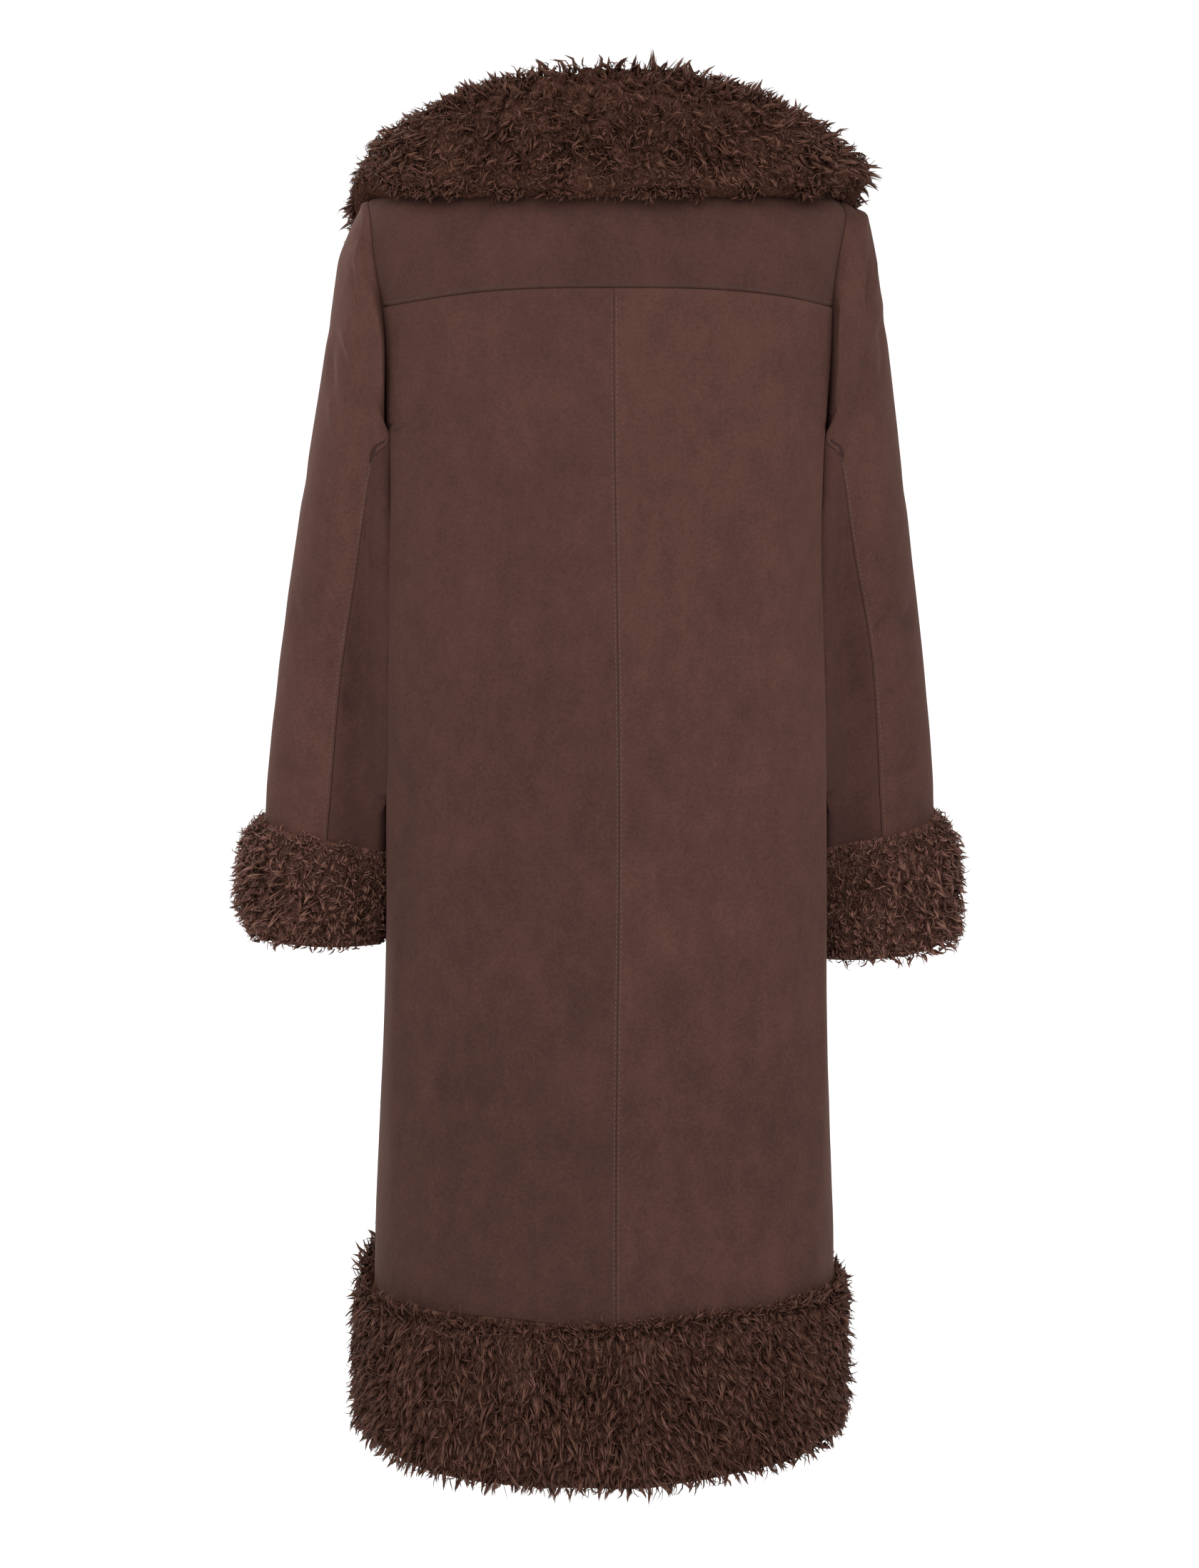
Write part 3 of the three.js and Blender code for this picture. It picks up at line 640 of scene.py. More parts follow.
def sleeve_creases(degrees, step, p, which):
    x, y, z = axes(p)
    total = 0.45 * lumps(p, 70.0, 5) + 0.3 * lumps(p, 30.0, 6)
    for side, *crease in SLEEVE_HEAD_FOLDS:
        if side == which:
            total += ramp(y, -30, 0) * crease_height(x, z, *crease)
    down = np.interp(step, *SLEEVE_LENGTHS)
    for side, a0, d0, a1, d1, *size in SLEEVE_CREASES:
        if side in (0, which):
            strength = 1.5 if d0 < ELBOW_DOWN else 2.4
            for lap in (0, 360):
                total += strength * crease_height((degrees - lap) * PER_DEGREE, down,
                                                  a0 * PER_DEGREE, d0, a1 * PER_DEGREE, d1, *size)
    return total * ramp(step, 0, 0.6)


# ------------------------------------------------------------------ meshes
def make_mesh(name, vertices, faces, look, smooth_angle=60.0, **attributes):
    """A mesh object from millimetre vertices and an array of faces of one size."""
    mesh = bpy.data.meshes.new(name)
    vertices = np.asarray(vertices, np.float32).reshape(-1, 3) * MM
    faces = np.asarray(faces, np.int32)
    count, corners = faces.shape
    mesh.vertices.add(len(vertices))
    mesh.vertices.foreach_set("co", vertices.ravel())
    mesh.loops.add(count * corners)
    mesh.loops.foreach_set("vertex_index", faces.ravel())
    mesh.polygons.add(count)
    mesh.polygons.foreach_set("loop_start", np.arange(0, count * corners, corners, dtype=np.int32))
    mesh.update(calc_edges=True)
    mesh.polygons.foreach_set("use_smooth", np.ones(count, bool))
    for key, values in attributes.items():
        layer = mesh.attributes.new(key, "FLOAT", "POINT")
        layer.data.foreach_set("value", np.asarray(values, np.float32).ravel())
    if smooth_angle:
        mesh.set_sharp_from_angle(angle=math.radians(smooth_angle))
    mesh.materials.append(material_for(look))
    return put(name, mesh)


def put(name, data):
    """An object in the scene for a mesh, a light or a camera."""
    made = bpy.data.objects.new(name, data)
    bpy.context.scene.collection.objects.link(made)
    return made


def finish_piece(made, slot, *nodes):
    """Rides on the coat's body, takes its finish from a slot, and stands for its CAD nodes."""
    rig.ride(made, BODY_NAME)
    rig.slot(made, slot)
    if nodes:
        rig.replaces(made, *nodes)
    return made


def lengths_along(line):
    """How far along a line of points each of them lies."""
    return np.concatenate([[0], np.cumsum(np.linalg.norm(np.diff(line, axis=0), axis=1))])


def edge_distance(p):
    """How far each grid point lies from the four edges: bottom, top, first and last column."""
    along = np.linalg.norm(np.diff(p, axis=0), axis=-1)
    across = np.linalg.norm(np.diff(p, axis=1), axis=-1)
    up = np.concatenate([np.zeros((1, p.shape[1])), np.cumsum(along, axis=0)])
    right = np.concatenate([np.zeros((p.shape[0], 1)), np.cumsum(across, axis=1)], axis=1)
    return up, up[-1:] - up, right, right[:, -1:] - right


def shell(name, p, n, outer, inner, look, tube=False, **attributes):
    """A closed shell from a grid of points. outer and inner are reaches along the normals.
    A tube joins its last column to its first."""
    rows, cols = p.shape[:2]
    i0, j0 = rows // 2, cols // 2
    way = np.cross(p[i0, j0] - p[i0, j0 - 1], p[i0, j0] - p[i0 - 1, j0])
    outside, inside = p + n * outer[..., None], p + n * inner[..., None]
    vertices = np.concatenate([inside.reshape(-1, 3), outside.reshape(-1, 3)])
    count = rows * cols
    cells = cols if tube else cols - 1
    i, j = np.meshgrid(np.arange(rows - 1), np.arange(cells), indexing="ij")
    a, b = i * cols + j, i * cols + (j + 1) % cols
    d, c = a + cols, b + cols
    low, top = np.arange(cells), (rows - 1) * cols
    low_next = (low + 1) % cols
    quads = [(a + count, b + count, c + count, d + count), (a, d, c, b),
             (low, low_next, low_next + count, low + count),
             (low + top + count, low_next + top + count, low_next + top, low + top)]
    if not tube:
        first = np.arange(rows - 1) * cols
        last = first + cols - 1
        quads += [(first + count, first + cols + count, first + cols, first),
                  (last, last + cols, last + cols + count, last + count)]
    faces = np.concatenate([np.stack(quad, -1).reshape(-1, 4) for quad in quads])
    if way @ n[i0, j0] < 0:
        faces = faces[:, ::-1]
    doubled = {key: np.concatenate([v.ravel(), v.ravel()]) for key, v in attributes.items()}
    return make_mesh(name, vertices, faces, look, **doubled)


def edge_spread(length, pitch):
    """Shares from 0 to 1 over a length, with extra lines close to both edges."""
    *close, last = EDGE_LINES
    middle = np.linspace(last, length - last, max(2, round((length - 2 * last) / pitch)) + 1)
    return np.concatenate([close, middle, length - np.array(close[::-1])]) / length


def groove(distances, shares, depth):
    """How far the cloth turns in towards its sewn edges, and how close to one each point is, for the painted shade and
    highlight there.
    """
    turned = [share * bump(far, 0, EDGE_TURNS) for far, share in zip(distances, shares)]
    close = [min(1.0, share * 2) * np.exp(-far / EDGE_SHADE_AND_HIGHLIGHT)
             for far, share in zip(distances, shares)]
    return -depth * np.max(np.stack(turned), axis=0), np.max(np.stack(close), axis=0)


def to_edge(a, edge):
    """A grid turned so that its first row is its bottom, top, first or last edge."""
    if edge in ("first", "last"):
        a = a.swapaxes(0, 1)
    return a[::-1] if edge in ("top", "last") else a


def from_edge(a, edge):
    """A grid turned back again."""
    if edge in ("top", "last"):
        a = a[::-1]
    return a.swapaxes(0, 1) if edge in ("first", "last") else a


def with_lip(grids, edge):
    """Adds a seam allowance that turns in at one edge and lies under the next piece. grids are
    the points, their normals, their reaches and how close they are to a seam."""
    p, n, outer, close = (to_edge(a, edge) for a in grids)
    ahead = p[:1] - p[1:2]
    ahead = unit(ahead - n[:1] * np.sum(ahead * n[:1], -1, keepdims=True))
    p = np.concatenate([*(p[:1] + ahead * far for far, _ in LIP), p])
    outer = np.concatenate([*(outer[:1] - deep for _, deep in LIP), outer])
    n, close = (np.concatenate([a[:1]] * len(LIP) + [a]) for a in (n, close))
    return tuple(from_edge(a, edge) for a in (p, n, outer, close))


def cloth_panel(name, sampled, creases, look, slot, seams, lips):
    """One sewn piece of cloth: a thin closed shell whose sewn edges turn in. seams is the share
    of that depth at the bottom, top, first and last edges, lips the edges with an allowance."""
    p, n = sampled
    far = edge_distance(p)
    turned, close = groove(far, seams, cloth_settings().groove_depth)
    outer = creases * smooth(np.min(np.stack(far), axis=0) / CREASES_FADE) + turned
    outside = p + n * outer[..., None]
    grids = p, n, outer, close
    for edge in lips:
        grids = with_lip(grids, edge)
    p, lipped_n, outer, close = grids
    made = shell(f"{name}_cloth", p, lipped_n, outer, outer - CLOTH, look, seam=close)
    return finish_piece(made, slot, name), outside, n


# ------------------------------------------------------------------ topstitching
def edge_line(outside, normals, edge, inset):
    """A line on a panel at an inset from one edge, and its normals."""
    line, aims = [], []
    for row, aim in zip(*(to_edge(a, edge).swapaxes(0, 1) for a in (outside, normals))):
        far = lengths_along(row)
        line.append([np.interp(inset, far, row[:, k]) for k in range(3)])
        aims.append([np.interp(inset, far, aim[:, k]) for k in range(3)])
    return np.array(line), unit(np.array(aims))


def rod_sides(rings):
    """Triangles round the sides of a three-sided rod."""
    a = np.arange((rings - 1) * 3)
    b = a // 3 * 3 + (a + 1) % 3
    return np.concatenate([np.stack([a, b, b + 3], -1), np.stack([a, b + 3, a + 3], -1)])


def repeated(tris, count, per):
    """The triangles of one small shape of some vertices, for each of count such shapes."""
    return (np.arange(count)[:, None, None] * per + tris[None]).reshape(-1, 3)


def stitches(name, line, aims, look):
    """A row of small raised stitches along a line of points, joined into one piece."""
    cloth, thick, trim = cloth_settings(), 0.36, 4.0
    rng = np.random.default_rng(8)
    far = lengths_along(line)
    starts = np.arange(trim, far[-1] - trim - cloth.stitch_length, cloth.stitch_pitch)
    shares = np.array((0.0, 0.22, 0.78, 1.0)) * cloth.stitch_length
    at = starts[:, None] + shares[None, :] + rng.uniform(-0.12, 0.12, (len(starts), 1))
    p = np.stack([np.interp(at, far, line[:, k]) for k in range(3)], -1)
    up = unit(np.stack([np.interp(at, far, aims[:, k]) for k in range(3)], -1))
    side = unit(np.cross(unit(p[:, -1:] - p[:, :1]), up))
    sink = np.array((-0.35, 0.12, 0.12, -0.35))[None, :, None] * thick
    wide = np.array((0.45, 1.0, 1.0, 0.45))[None, :, None] * thick
    ring = [p + up * (sink + wide * 0.9), p + side * wide + up * (sink - wide * 0.5),
            p - side * wide + up * (sink - wide * 0.5)]
    tris = np.concatenate([rod_sides(4), [(0, 2, 1), (9, 10, 11)]])
    made = make_mesh(name, np.stack(ring, 2), repeated(tris, len(starts), 12), look, 0)
    return finish_piece(made, "suede")


# ------------------------------------------------------------------ fur
def spread_roots(sample, shape, count, rng, weight=None, least=None):
    """Roots spread evenly by area over a surface given as sample(u, v) for u, v from 0 to 1.
    weight(u, v) makes them closer in places, and least keeps them that far apart."""
    u, v = np.meshgrid(np.linspace(0, 1, shape[0] + 1), np.linspace(0, 1, shape[1] + 1),
                       indexing="ij")
    p = sample(u, v)[0]
    area = np.linalg.norm(np.cross(p[1:, :-1] - p[:-1, :-1], p[:-1, 1:] - p[:-1, :-1]), axis=-1)
    if weight is not None:
        area = area * weight((u[1:, 1:] + u[:-1, :-1]) / 2, (v[1:, 1:] + v[:-1, :-1]) / 2)
    chosen = area.ravel() / area.sum()
    ask = count if least is None else count * 4
    at = (np.arange(ask) + rng.random(ask)) / ask
    cell = np.minimum(np.searchsorted(np.cumsum(chosen), at), chosen.size - 1)
    i, j = np.unravel_index(cell, area.shape)
    u = (i + rng.random(ask)) / shape[0]
    v = (j + rng.random(ask)) / shape[1]
    if least is None:
        return u, v
    p = sample(u, v)[0]
    kept, cells = [], {}
    for k in rng.permutation(ask):
        key = tuple((p[k] // least).astype(int))
        near = [q for step in product((-1, 0, 1), repeat=3)
                for q in cells.get(tuple(c + d for c, d in zip(key, step)), ())]
        if near and np.min(np.linalg.norm(np.array(near) - p[k], axis=1)) < least:
            continue
        cells.setdefault(key, []).append(p[k])
        kept.append(k)
        if len(kept) >= count:
            break
    return u[kept], v[kept]


def nearest_index(points, centres):
    tree = KDTree(len(centres))
    for k, c in enumerate(centres):
        tree.insert(c, k)
    tree.balance()
    return np.array([tree.find(p)[1] for p in points])


def wisp_mesh(name, paths, normals, wide, thick, shade, look):
    """Closed tapering wisps along paths of RINGS points and a tip. Each is flattened, and
    carries how far along, how far across and how light it is for the finish."""
    count, points = paths.shape[:2]
    flat_way = unit(normals)[:, None] + 0 * paths
    way = unit(np.gradient(paths, axis=1))
    two = unit(np.cross(way, flat_way))
    one = np.cross(two, way)[:, :-1]
    profile = np.interp(np.linspace(0, 1, points), (0, 0.2, 0.5, 0.8, 1), (0.7, 1.0, 0.9, 0.5, 0.0))
    half = (wide[:, None] * profile[None, :-1])[..., None] / 2
    deep = (thick[:, None] * profile[None, :-1])[..., None] / 2
    start, two = paths[:, :-1], two[:, :-1]
    ring = np.stack([start - two * half - one * deep, start + two * half - one * deep,
                     start + one * deep * 1.4], 2)
    vertices = np.concatenate([ring.reshape(count, -1, 3), paths[:, -1:]], axis=1)
    per = vertices.shape[1]
    tip, last = per - 1, (points - 2) * 3
    tris = np.concatenate([rod_sides(points - 1), [(last, last + 1, tip), (last + 1, last + 2, tip),
                                                   (last + 2, last, tip), (0, 2, 1)]])
    along = np.repeat(np.linspace(0, 1, points), [3] * (points - 1) + [1])
    across = np.append(np.tile((-1.0, 1.0, 0.0), points - 1), 0.0)
    made = make_mesh(name, vertices, repeated(tris, count, per), look, 0,
                     along=np.tile(along, count), tone=np.repeat(shade, per),
                     across=np.tile(across, count) * np.repeat(wide, per))
    return finish_piece(made, "fur")


def across_frame(way):
    """Two directions across each given direction."""
    helper = np.where(np.abs(way[..., 2:3]) > 0.9, np.array((1.0, 0, 0)), np.array((0, 0, 1.0)))
    one = unit(np.cross(way, helper))
    return one, np.cross(way, one)


def coil(aside, angle, swing, grow):
    """Steps aside that swing to and fro as a wisp grows."""
    return aside[:, None] * (swing(angle) * grow)[..., None]


def lock_paths(g, gn, gd, p, tall, rng, comb, start, length, curl, stray):
    """Paths of the wisps that gather into pointed locks, and the lock that each belongs to."""
    settings, guides, count = fur_settings(), len(g), len(p)
    steps = np.linspace(0, 1, RINGS + 1)
    lay = unit(comb(g, gn, gd, rng))
    long = tall * (1 - start) * settings.lock_length * length * rng.uniform(0.75, 1.3, guides)
    rise = unit(gn + lay * 0.55 + rng.normal(0, stray, (guides, 3)))
    over = unit(lay + gn * 0.3 + rng.normal(0, stray * 1.3, (guides, 3)))
    s = steps[None, :, None]
    path = long[:, None, None] * (rise[:, None] * (s - 0.5 * s**2) + over[:, None] * 0.65 * s**2)
    one, two = across_frame(unit(rise + over))
    turns = rng.uniform(0.3, 0.8, guides) * rng.choice((-1, 1), guides)
    angle = rng.uniform(0, 2 * math.pi, guides)[:, None] + 2 * math.pi * turns[:, None] * steps
    grow = (settings.curl * curl * rng.uniform(0.4, 1.3, guides))[:, None] * steps ** 0.8
    path += coil(one, angle, np.cos, grow)
    path += coil(two, angle, np.sin, grow)
    owner = nearest_index(p, g)
    pull = rng.uniform(0.55, 0.97, guides)[owner]
    reached = rng.uniform(0.7, 1.05, count)
    reached[:guides] = 0.96
    along = steps[None] * reached[:, None]
    lower = np.minimum((along * RINGS).astype(int), RINGS - 1)
    part = (along * RINGS - lower)[..., None]
    own = path[owner[:, None], lower] * (1 - part) + path[owner[:, None], lower + 1] * part
    gather = (pull[:, None] * smooth(along * 1.1))[..., None]
    around = 6.28                # once round, in radians
    first = rng.uniform(0, around, count)[:, None]
    angle = first + along * around * rng.uniform(0.4, 1.0, count)[:, None]
    wave = rng.uniform(0.3, 1.6, count)
    wave[:guides] = 0
    wave = wave[:, None] * along * curl
    paths = p[:, None] + own - (p - g[owner])[:, None] * gather
    paths += coil(one[owner], angle, np.cos, wave)
    paths += coil(two[owner], angle, np.sin, wave)
    return paths, owner


def curl_paths(p, n, lay, long, rng, open_curl):
    """Paths of short wisps that each bend round into a hook or curl."""
    count = len(p)
    s = np.linspace(0, 1, RINGS + 1)[None]
    ahead = unit(n * rng.uniform(0.2, 0.9, count)[:, None]
                 + lay * rng.uniform(0.3, 1.2, count)[:, None] + rng.normal(0, 0.5, (count, 3)))
    aside = unit(np.cross(ahead, unit(rng.normal(0, 1, (count, 3)) + n * 0.8)))
    third = np.cross(ahead, aside)
    bend = rng.uniform(1.6, 4.6, count)[:, None] * open_curl
    radius = long[:, None] / bend
    drift = (rng.uniform(0.1, 0.45, count) * long)[:, None] * s
    return (p[:, None] + ahead[:, None] * (radius * np.sin(bend * s))[..., None]
            + aside[:, None] * (radius * (1 - np.cos(bend * s)))[..., None]
            + third[:, None] * drift[..., None])


def widths(rng, count, share, fine, coarse):
    """Widths of wisps, a share of them fine and the rest coarse."""
    return np.where(rng.random(count) < share,
                    rng.uniform(*fine, count), rng.uniform(*coarse, count))


def fur(name, sample, shape, count, seed, comb, reach, look, lock, weight, guard=None, length=1.5,
        start=0.68, stray=0.3, curl=1.0, curls=0.6, open_curl=1.0, curl_length=11.0, core=1.0):
    """Shaggy curly fur on a surface: wisps that gather into pointed locks, among short curls.

    sample(u, v) gives points, normals and the way v grows. comb(g, n, down, rng) gives the
    direction that the locks lie in, reach(u, v) how far they stand out, start the share of
    that reach at which the wisps leave the wool, and curls the share of short curls."""
    rng = np.random.default_rng(seed)
    gu, gv = spread_roots(sample, shape, count // 4, rng, weight, least=lock * 0.8)
    g, gn, gd = sample(gu, gv)
    tall = reach(gu, gv)
    g = g + gn * (tall * start)[:, None]
    short = int(count * curls)
    u, v = spread_roots(sample, shape, count - short - len(g), rng, weight)
    p, n, _ = sample(u, v)
    p = p + n * (reach(u, v) * start * rng.uniform(0.7, 1.15, len(p)))[:, None]
    # Each lock has one thick wisp at its heart, from which the finer ones stand off.
    p, n = np.concatenate([g, p]), np.concatenate([gn, n])
    paths, owner = lock_paths(g, gn, gd, p, tall, rng, comb, start, length, curl, stray)
    tone = rng.normal(0, 0.14, len(g))
    shade = 0.5 + rng.normal(0, 0.12, len(p)) + tone[owner] \
        + PATCH_SHADE * lumps(p, PATCH, seed)
    shade[:len(g)] -= 0.16
    wide = widths(rng, len(p), 0.45, (0.7, 1.2), (1.5, 2.5))
    wide[:len(g)] = rng.uniform(2.7, 4.4, len(g)) * core
    # Short curls fill the fur between the locks, at every depth.
    u, v = spread_roots(sample, shape, short, rng, weight)
    q, m, down = sample(u, v)
    q = q + m * (reach(u, v) * rng.uniform(start * 0.85, 0.92, short))[:, None]
    long = curl_length * rng.uniform(0.65, 1.35, short) * np.minimum(1, reach(u, v) / 12.0)
    hooks = curl_paths(q, m, unit(comb(q, m, down, rng)), long, rng, open_curl)
    shade = np.append(shade, 0.48 + rng.normal(0, 0.15, short) + tone[nearest_index(q, g)]
                      + PATCH_SHADE * lumps(q, PATCH, seed))
    wide = np.append(wide, widths(rng, short, 0.5, (0.6, 1.1), (1.3, 2.2)))
    paths, n = np.concatenate([paths, hooks]), np.concatenate([n, m])
    if guard is not None:
        paths = guard(paths)
    strand = fur_settings().strand_width
    wide = wide * strand
    thin = wide < 1.25 * strand
    thick = np.where(thin, wide * 0.8, wide * np.where(wide > 2.6, 0.6, 0.4))
    flat = n + rng.normal(0, 0.5, n.shape)
    # A share of the thin wisps is painted lighter: painted glints, where fine hairs catch the light.
    painted_glint = np.where(thin, np.where(rng.random(len(wide)) < 0.3, 0.55, 0.1), 0)
    return wisp_mesh(name, paths, flat, wide, thick, share01(shade + painted_glint), look)


def tufts(name, sample, count, seed, length, look, fall, out, spread, toward=0.0):
    """Short tufts along an edge that turn over it and hide its rim. sample(u, v) is the strip
    that they grow from. fall is how far they turn down it, out how far they stand off."""
    rng = np.random.default_rng(seed)
    u, v = spread_roots(sample, (120, 2), count * 2, rng)
    kept = lumps(sample(u, v)[0], 16.0, seed) > -0.25
    q, m, down = sample(u[kept][:count], v[kept][:count])
    count = len(q)
    long = length * rng.uniform(0.45, 1.25, count) * (1 + 0.35 * lumps(q, 12.0, seed + 1))
    lay = down * fall + m * out + toward + rng.normal(0, spread, q.shape)
    paths = curl_paths(q - m * 0.6, m, unit(lay), long, rng, 0.5)
    wide = widths(rng, count, 0.4, (0.7, 1.2), (1.5, 2.8)) * fur_settings().strand_width
    shade = share01(0.44 + rng.normal(0, 0.16, count))
    flat = m + rng.normal(0, 0.5, m.shape)
    return wisp_mesh(name, paths, flat, wide, wide * 0.5, shade, look)


# ------------------------------------------------------------------ materials
def linear(colour):
    """A screen colour, 0 to 1, as light values."""
    return tuple(c / 12.92 if c <= 0.04045 else ((c + 0.055) / 1.055) ** 2.4 for c in colour)


def tinted(colour, share):
    return tuple(c * share for c in colour)


class Flow:
    """A value that flows through a material's nodes, so that shades mix by plain maths."""

    def __init__(self, socket):
        self.socket, self.tree = socket, socket.id_data

    def joined(self, operation, first, second):
        return node(self.tree, "ShaderNodeMath", 0, {0: first, 1: second}, operation=operation)

    def __add__(self, other):
        return self.joined("ADD", self, other)

    def __sub__(self, other):
        return self.joined("SUBTRACT", self, other)

    def __rsub__(self, other):
        return self.joined("SUBTRACT", other, self)

    def __mul__(self, other):
        return self.joined("MULTIPLY", self, other)

    def __pow__(self, other):
        return self.joined("POWER", self, other)

    def clamped(self):
        self.socket.node.use_clamp = True
        return self


def feed(made, values):
    """Sets a node's inputs, or links what flows into them."""
    for key, value in values.items():
        if isinstance(value, Flow):
            value.tree.links.new(value.socket, made.inputs[key])
        else:
            made.inputs[key].default_value = value


def node(tree, kind, output, values, **settings):
    """A new node, as the value that flows from one of its outputs."""
    made = tree.nodes.new(kind)
    for key, value in settings.items():
        setattr(made, key, value)
    feed(made, values)
    return Flow(made.outputs[output])


def noise(place, scale, detail, rough=0.5, distortion=0.0):
    return node(place.tree, "ShaderNodeTexNoise", "Fac",
                {"Vector": place, "Scale": scale, "Detail": detail, "Roughness": rough,
                 "Distortion": distortion})


def blend(factor, a, b):
    a, b = (shade if isinstance(shade, Flow) else (*shade, 1.0) for shade in (a, b))
    return node(factor.tree, "ShaderNodeMix", 2, {0: factor, 6: a, 7: b}, data_type="RGBA")


def attribute(tree, name):
    return node(tree, "ShaderNodeAttribute", "Fac", {}, attribute_name=name)


def new_material(name):
    """A material, the place of a point on it, and its shader."""
    material = bpy.data.materials.new(name)
    material.use_nodes = True
    tree = material.node_tree
    place = node(tree, "ShaderNodeTexCoord", "Object", {})
    return material, tree, place, tree.nodes["Principled BSDF"]


def bump_map(strength, distance, height):
    return node(height.tree, "ShaderNodeBump", "Normal",
                {"Strength": strength, "Distance": distance, "Height": height})


def suede(name, colour):
    """Suede-look cloth: a short soft nap with cloudy mottling, fine grain and a faint bloom, with painted shade low
    down and in the seams and a painted highlight beside them.
    """
    cloth = cloth_settings()
    material, tree, place, shader = new_material(name)
    combed = node(tree, "ShaderNodeMapping", "Vector", {"Vector": place, "Scale": (1.0, 1.0, 0.6)})
    clouds, grain = noise(place, 7.0, 3.0, 0.55), noise(place, 420.0, 4.0, 0.75)
    mottle, patches = noise(combed, 60.0, 5.0, 0.66), noise(combed, 22.0, 3.0, 0.5)
    # The tone is painted darker towards the bottom of the coat: painted shade, as the light falls from above.
    height = node(tree, "ShaderNodeSeparateXYZ", "Z", {"Vector": place})
    total = clouds * 0.7 + mottle * 0.95 + patches * 0.45 + grain * 1.7 + height * 0.46 - 1.2
    base = blend(total.clamped(), tinted(colour, 1 - cloth.mottling),
                 tinted(colour, 1 + cloth.mottling))
    # Beside each sewn edge the colour is painted lighter, a painted highlight on the turned edge, and in the seam
    # itself darker, painted shade in the groove.
    near = attribute(tree, "seam")
    base = blend((near * (1.0 - near) * 0.8).clamped(), base, tinted(colour, 1.3))
    base = blend((near ** 4.0 * 0.6).clamped(), base, tinted(colour, 0.45))
    feed(shader, {"Base Color": base, "Roughness": 0.94, "Specular IOR Level": 0.18,
                  "Sheen Weight": cloth.sheen, "Sheen Roughness": 0.5,
                  "Sheen Tint": (*(min(1.0, c * 4.5) for c in colour), 1.0),
                  "Normal": bump_map(0.35, 0.0006, grain * 0.8 + mottle * 1.4)})
    return material


def thread(name, colour):
    """Sewing thread."""
    material, _, place, shader = new_material(name)
    base = blend(noise(place, 700.0, 2.0), tinted(colour, 0.8), tinted(colour, 1.2))
    feed(shader, {"Base Color": base, "Roughness": 0.7, "Sheen Weight": 0.2})
    return material


def fur_finish(name, tint):
    """Fur wisps: painted dark at the root as shade deep in the fur, lighter at the tip, with fine fibres running along
    them.
    """
    settings = fur_settings()
    material, tree, place, shader = new_material(name)
    along, across, tone = (attribute(tree, key) for key in ("along", "across", "tone"))
    strand = node(tree, "ShaderNodeCombineXYZ", 0,
                  {"X": across, "Y": along * 0.9, "Z": tone * 60.0})
    fibre, clumps = noise(strand, 1.5, 2.0, 0.7), noise(place, 150.0, 3.0, 0.6)
    dark, light = (tuple(c * k for c, k in zip(shade, tint))
                   for shade in (settings.fur_dark, settings.fur_light))
    shade = blend((tone * 0.6 + fibre * 1.2 + clumps * 1.3 - 1.13).clamped(), dark, light)
    # Each wisp is painted darker towards its root: painted shade deep among the locks.
    base = blend((along * 1.6).clamped() ** 0.8, tinted(dark, 0.3), shade)
    feed(shader, {"Base Color": base, "Roughness": settings.fur_roughness,
                  "Specular IOR Level": 0.1, "Specular Tint": (1.0, 0.74, 0.6, 1.0),
                  "Normal": bump_map(0.4, 0.0006, fibre)})
    return material


def undercoat_finish(name, combed, tint):
    """The dense wool under the locks, with short tangled curls or combed hair, painted darker than the locks as the
    shade deep in the fur.
    """
    settings = fur_settings()
    material, tree, place, shader = new_material(name)
    place = node(tree, "ShaderNodeMapping", "Vector",
                 {"Vector": place, "Scale": (1.0, 1.0, 0.34 if combed else 1.0),
                  "Rotation": (0.0, 0.2 if combed else 0.0, 0.0)})
    clumps, curls = noise(place, 90.0, 2.0), noise(place, 230.0, 3.0, 0.6, 1.8)
    fibres = noise(place, 620.0, 2.0, 0.5, 1.2)
    # The wool is painted far darker than the locks: painted shade deep in the fur.
    dark = tuple(c * 0.28 * k for c, k in zip(settings.fur_dark, tint))
    light = tuple((a * 0.3 + b * 0.6) * k
                  for a, b, k in zip(settings.fur_dark, settings.fur_light, tint))
    factor = (curls * 1.9 + fibres * 1.2 + clumps * 0.8 - 1.45).clamped()
    feed(shader, {"Base Color": blend(factor, dark, light), "Roughness": 0.8,
                  "Specular IOR Level": 0.0, "Normal": bump_map(1.0, 0.004, curls + fibres * 0.5)})
    return material


def material_for(name):
    """The coat's materials, made when first asked for."""
    if name in bpy.data.materials:
        return bpy.data.materials[name]
    if name in CLOTH_LOOKS:
        finish, setting, share = CLOTH_LOOKS[name]
        return finish(name, tinted(getattr(cloth_settings(), setting), share))
    kind, layer = name.rsplit("_", 1)
    if layer == "locks":
        return fur_finish(name, FUR_TINTS[kind])
    return undercoat_finish(name, kind != "look_fur", FUR_TINTS[kind])


# Each cloth's and thread's finish: how it is made, from which setting, and its share of that.
CLOTH_LOOKS = {
    # The suede's shares make lighter and darker copies of one cloth, panel by panel: painted light and shade, with the
    # yoke darkest as painted shadow under the collar, and the under-pieces take the darker shaded colour.
    "look_suede_left_back": (suede, "colour", 0.83),
    "look_suede_right_back": (suede, "colour", 0.95),
    "look_suede_yoke": (suede, "colour", 0.78),
    "look_suede_front": (suede, "colour", 0.92),
    "look_suede_sleeve_left": (suede, "colour", 1.0),
    "look_suede_sleeve_right": (suede, "colour", 0.89),
    "look_suede_under": (suede, "shaded", 1.0),
    "look_thread": (thread, "thread_colour", 1.0),
    "look_thread_dark": (thread, "thread_colour", 0.3),
}
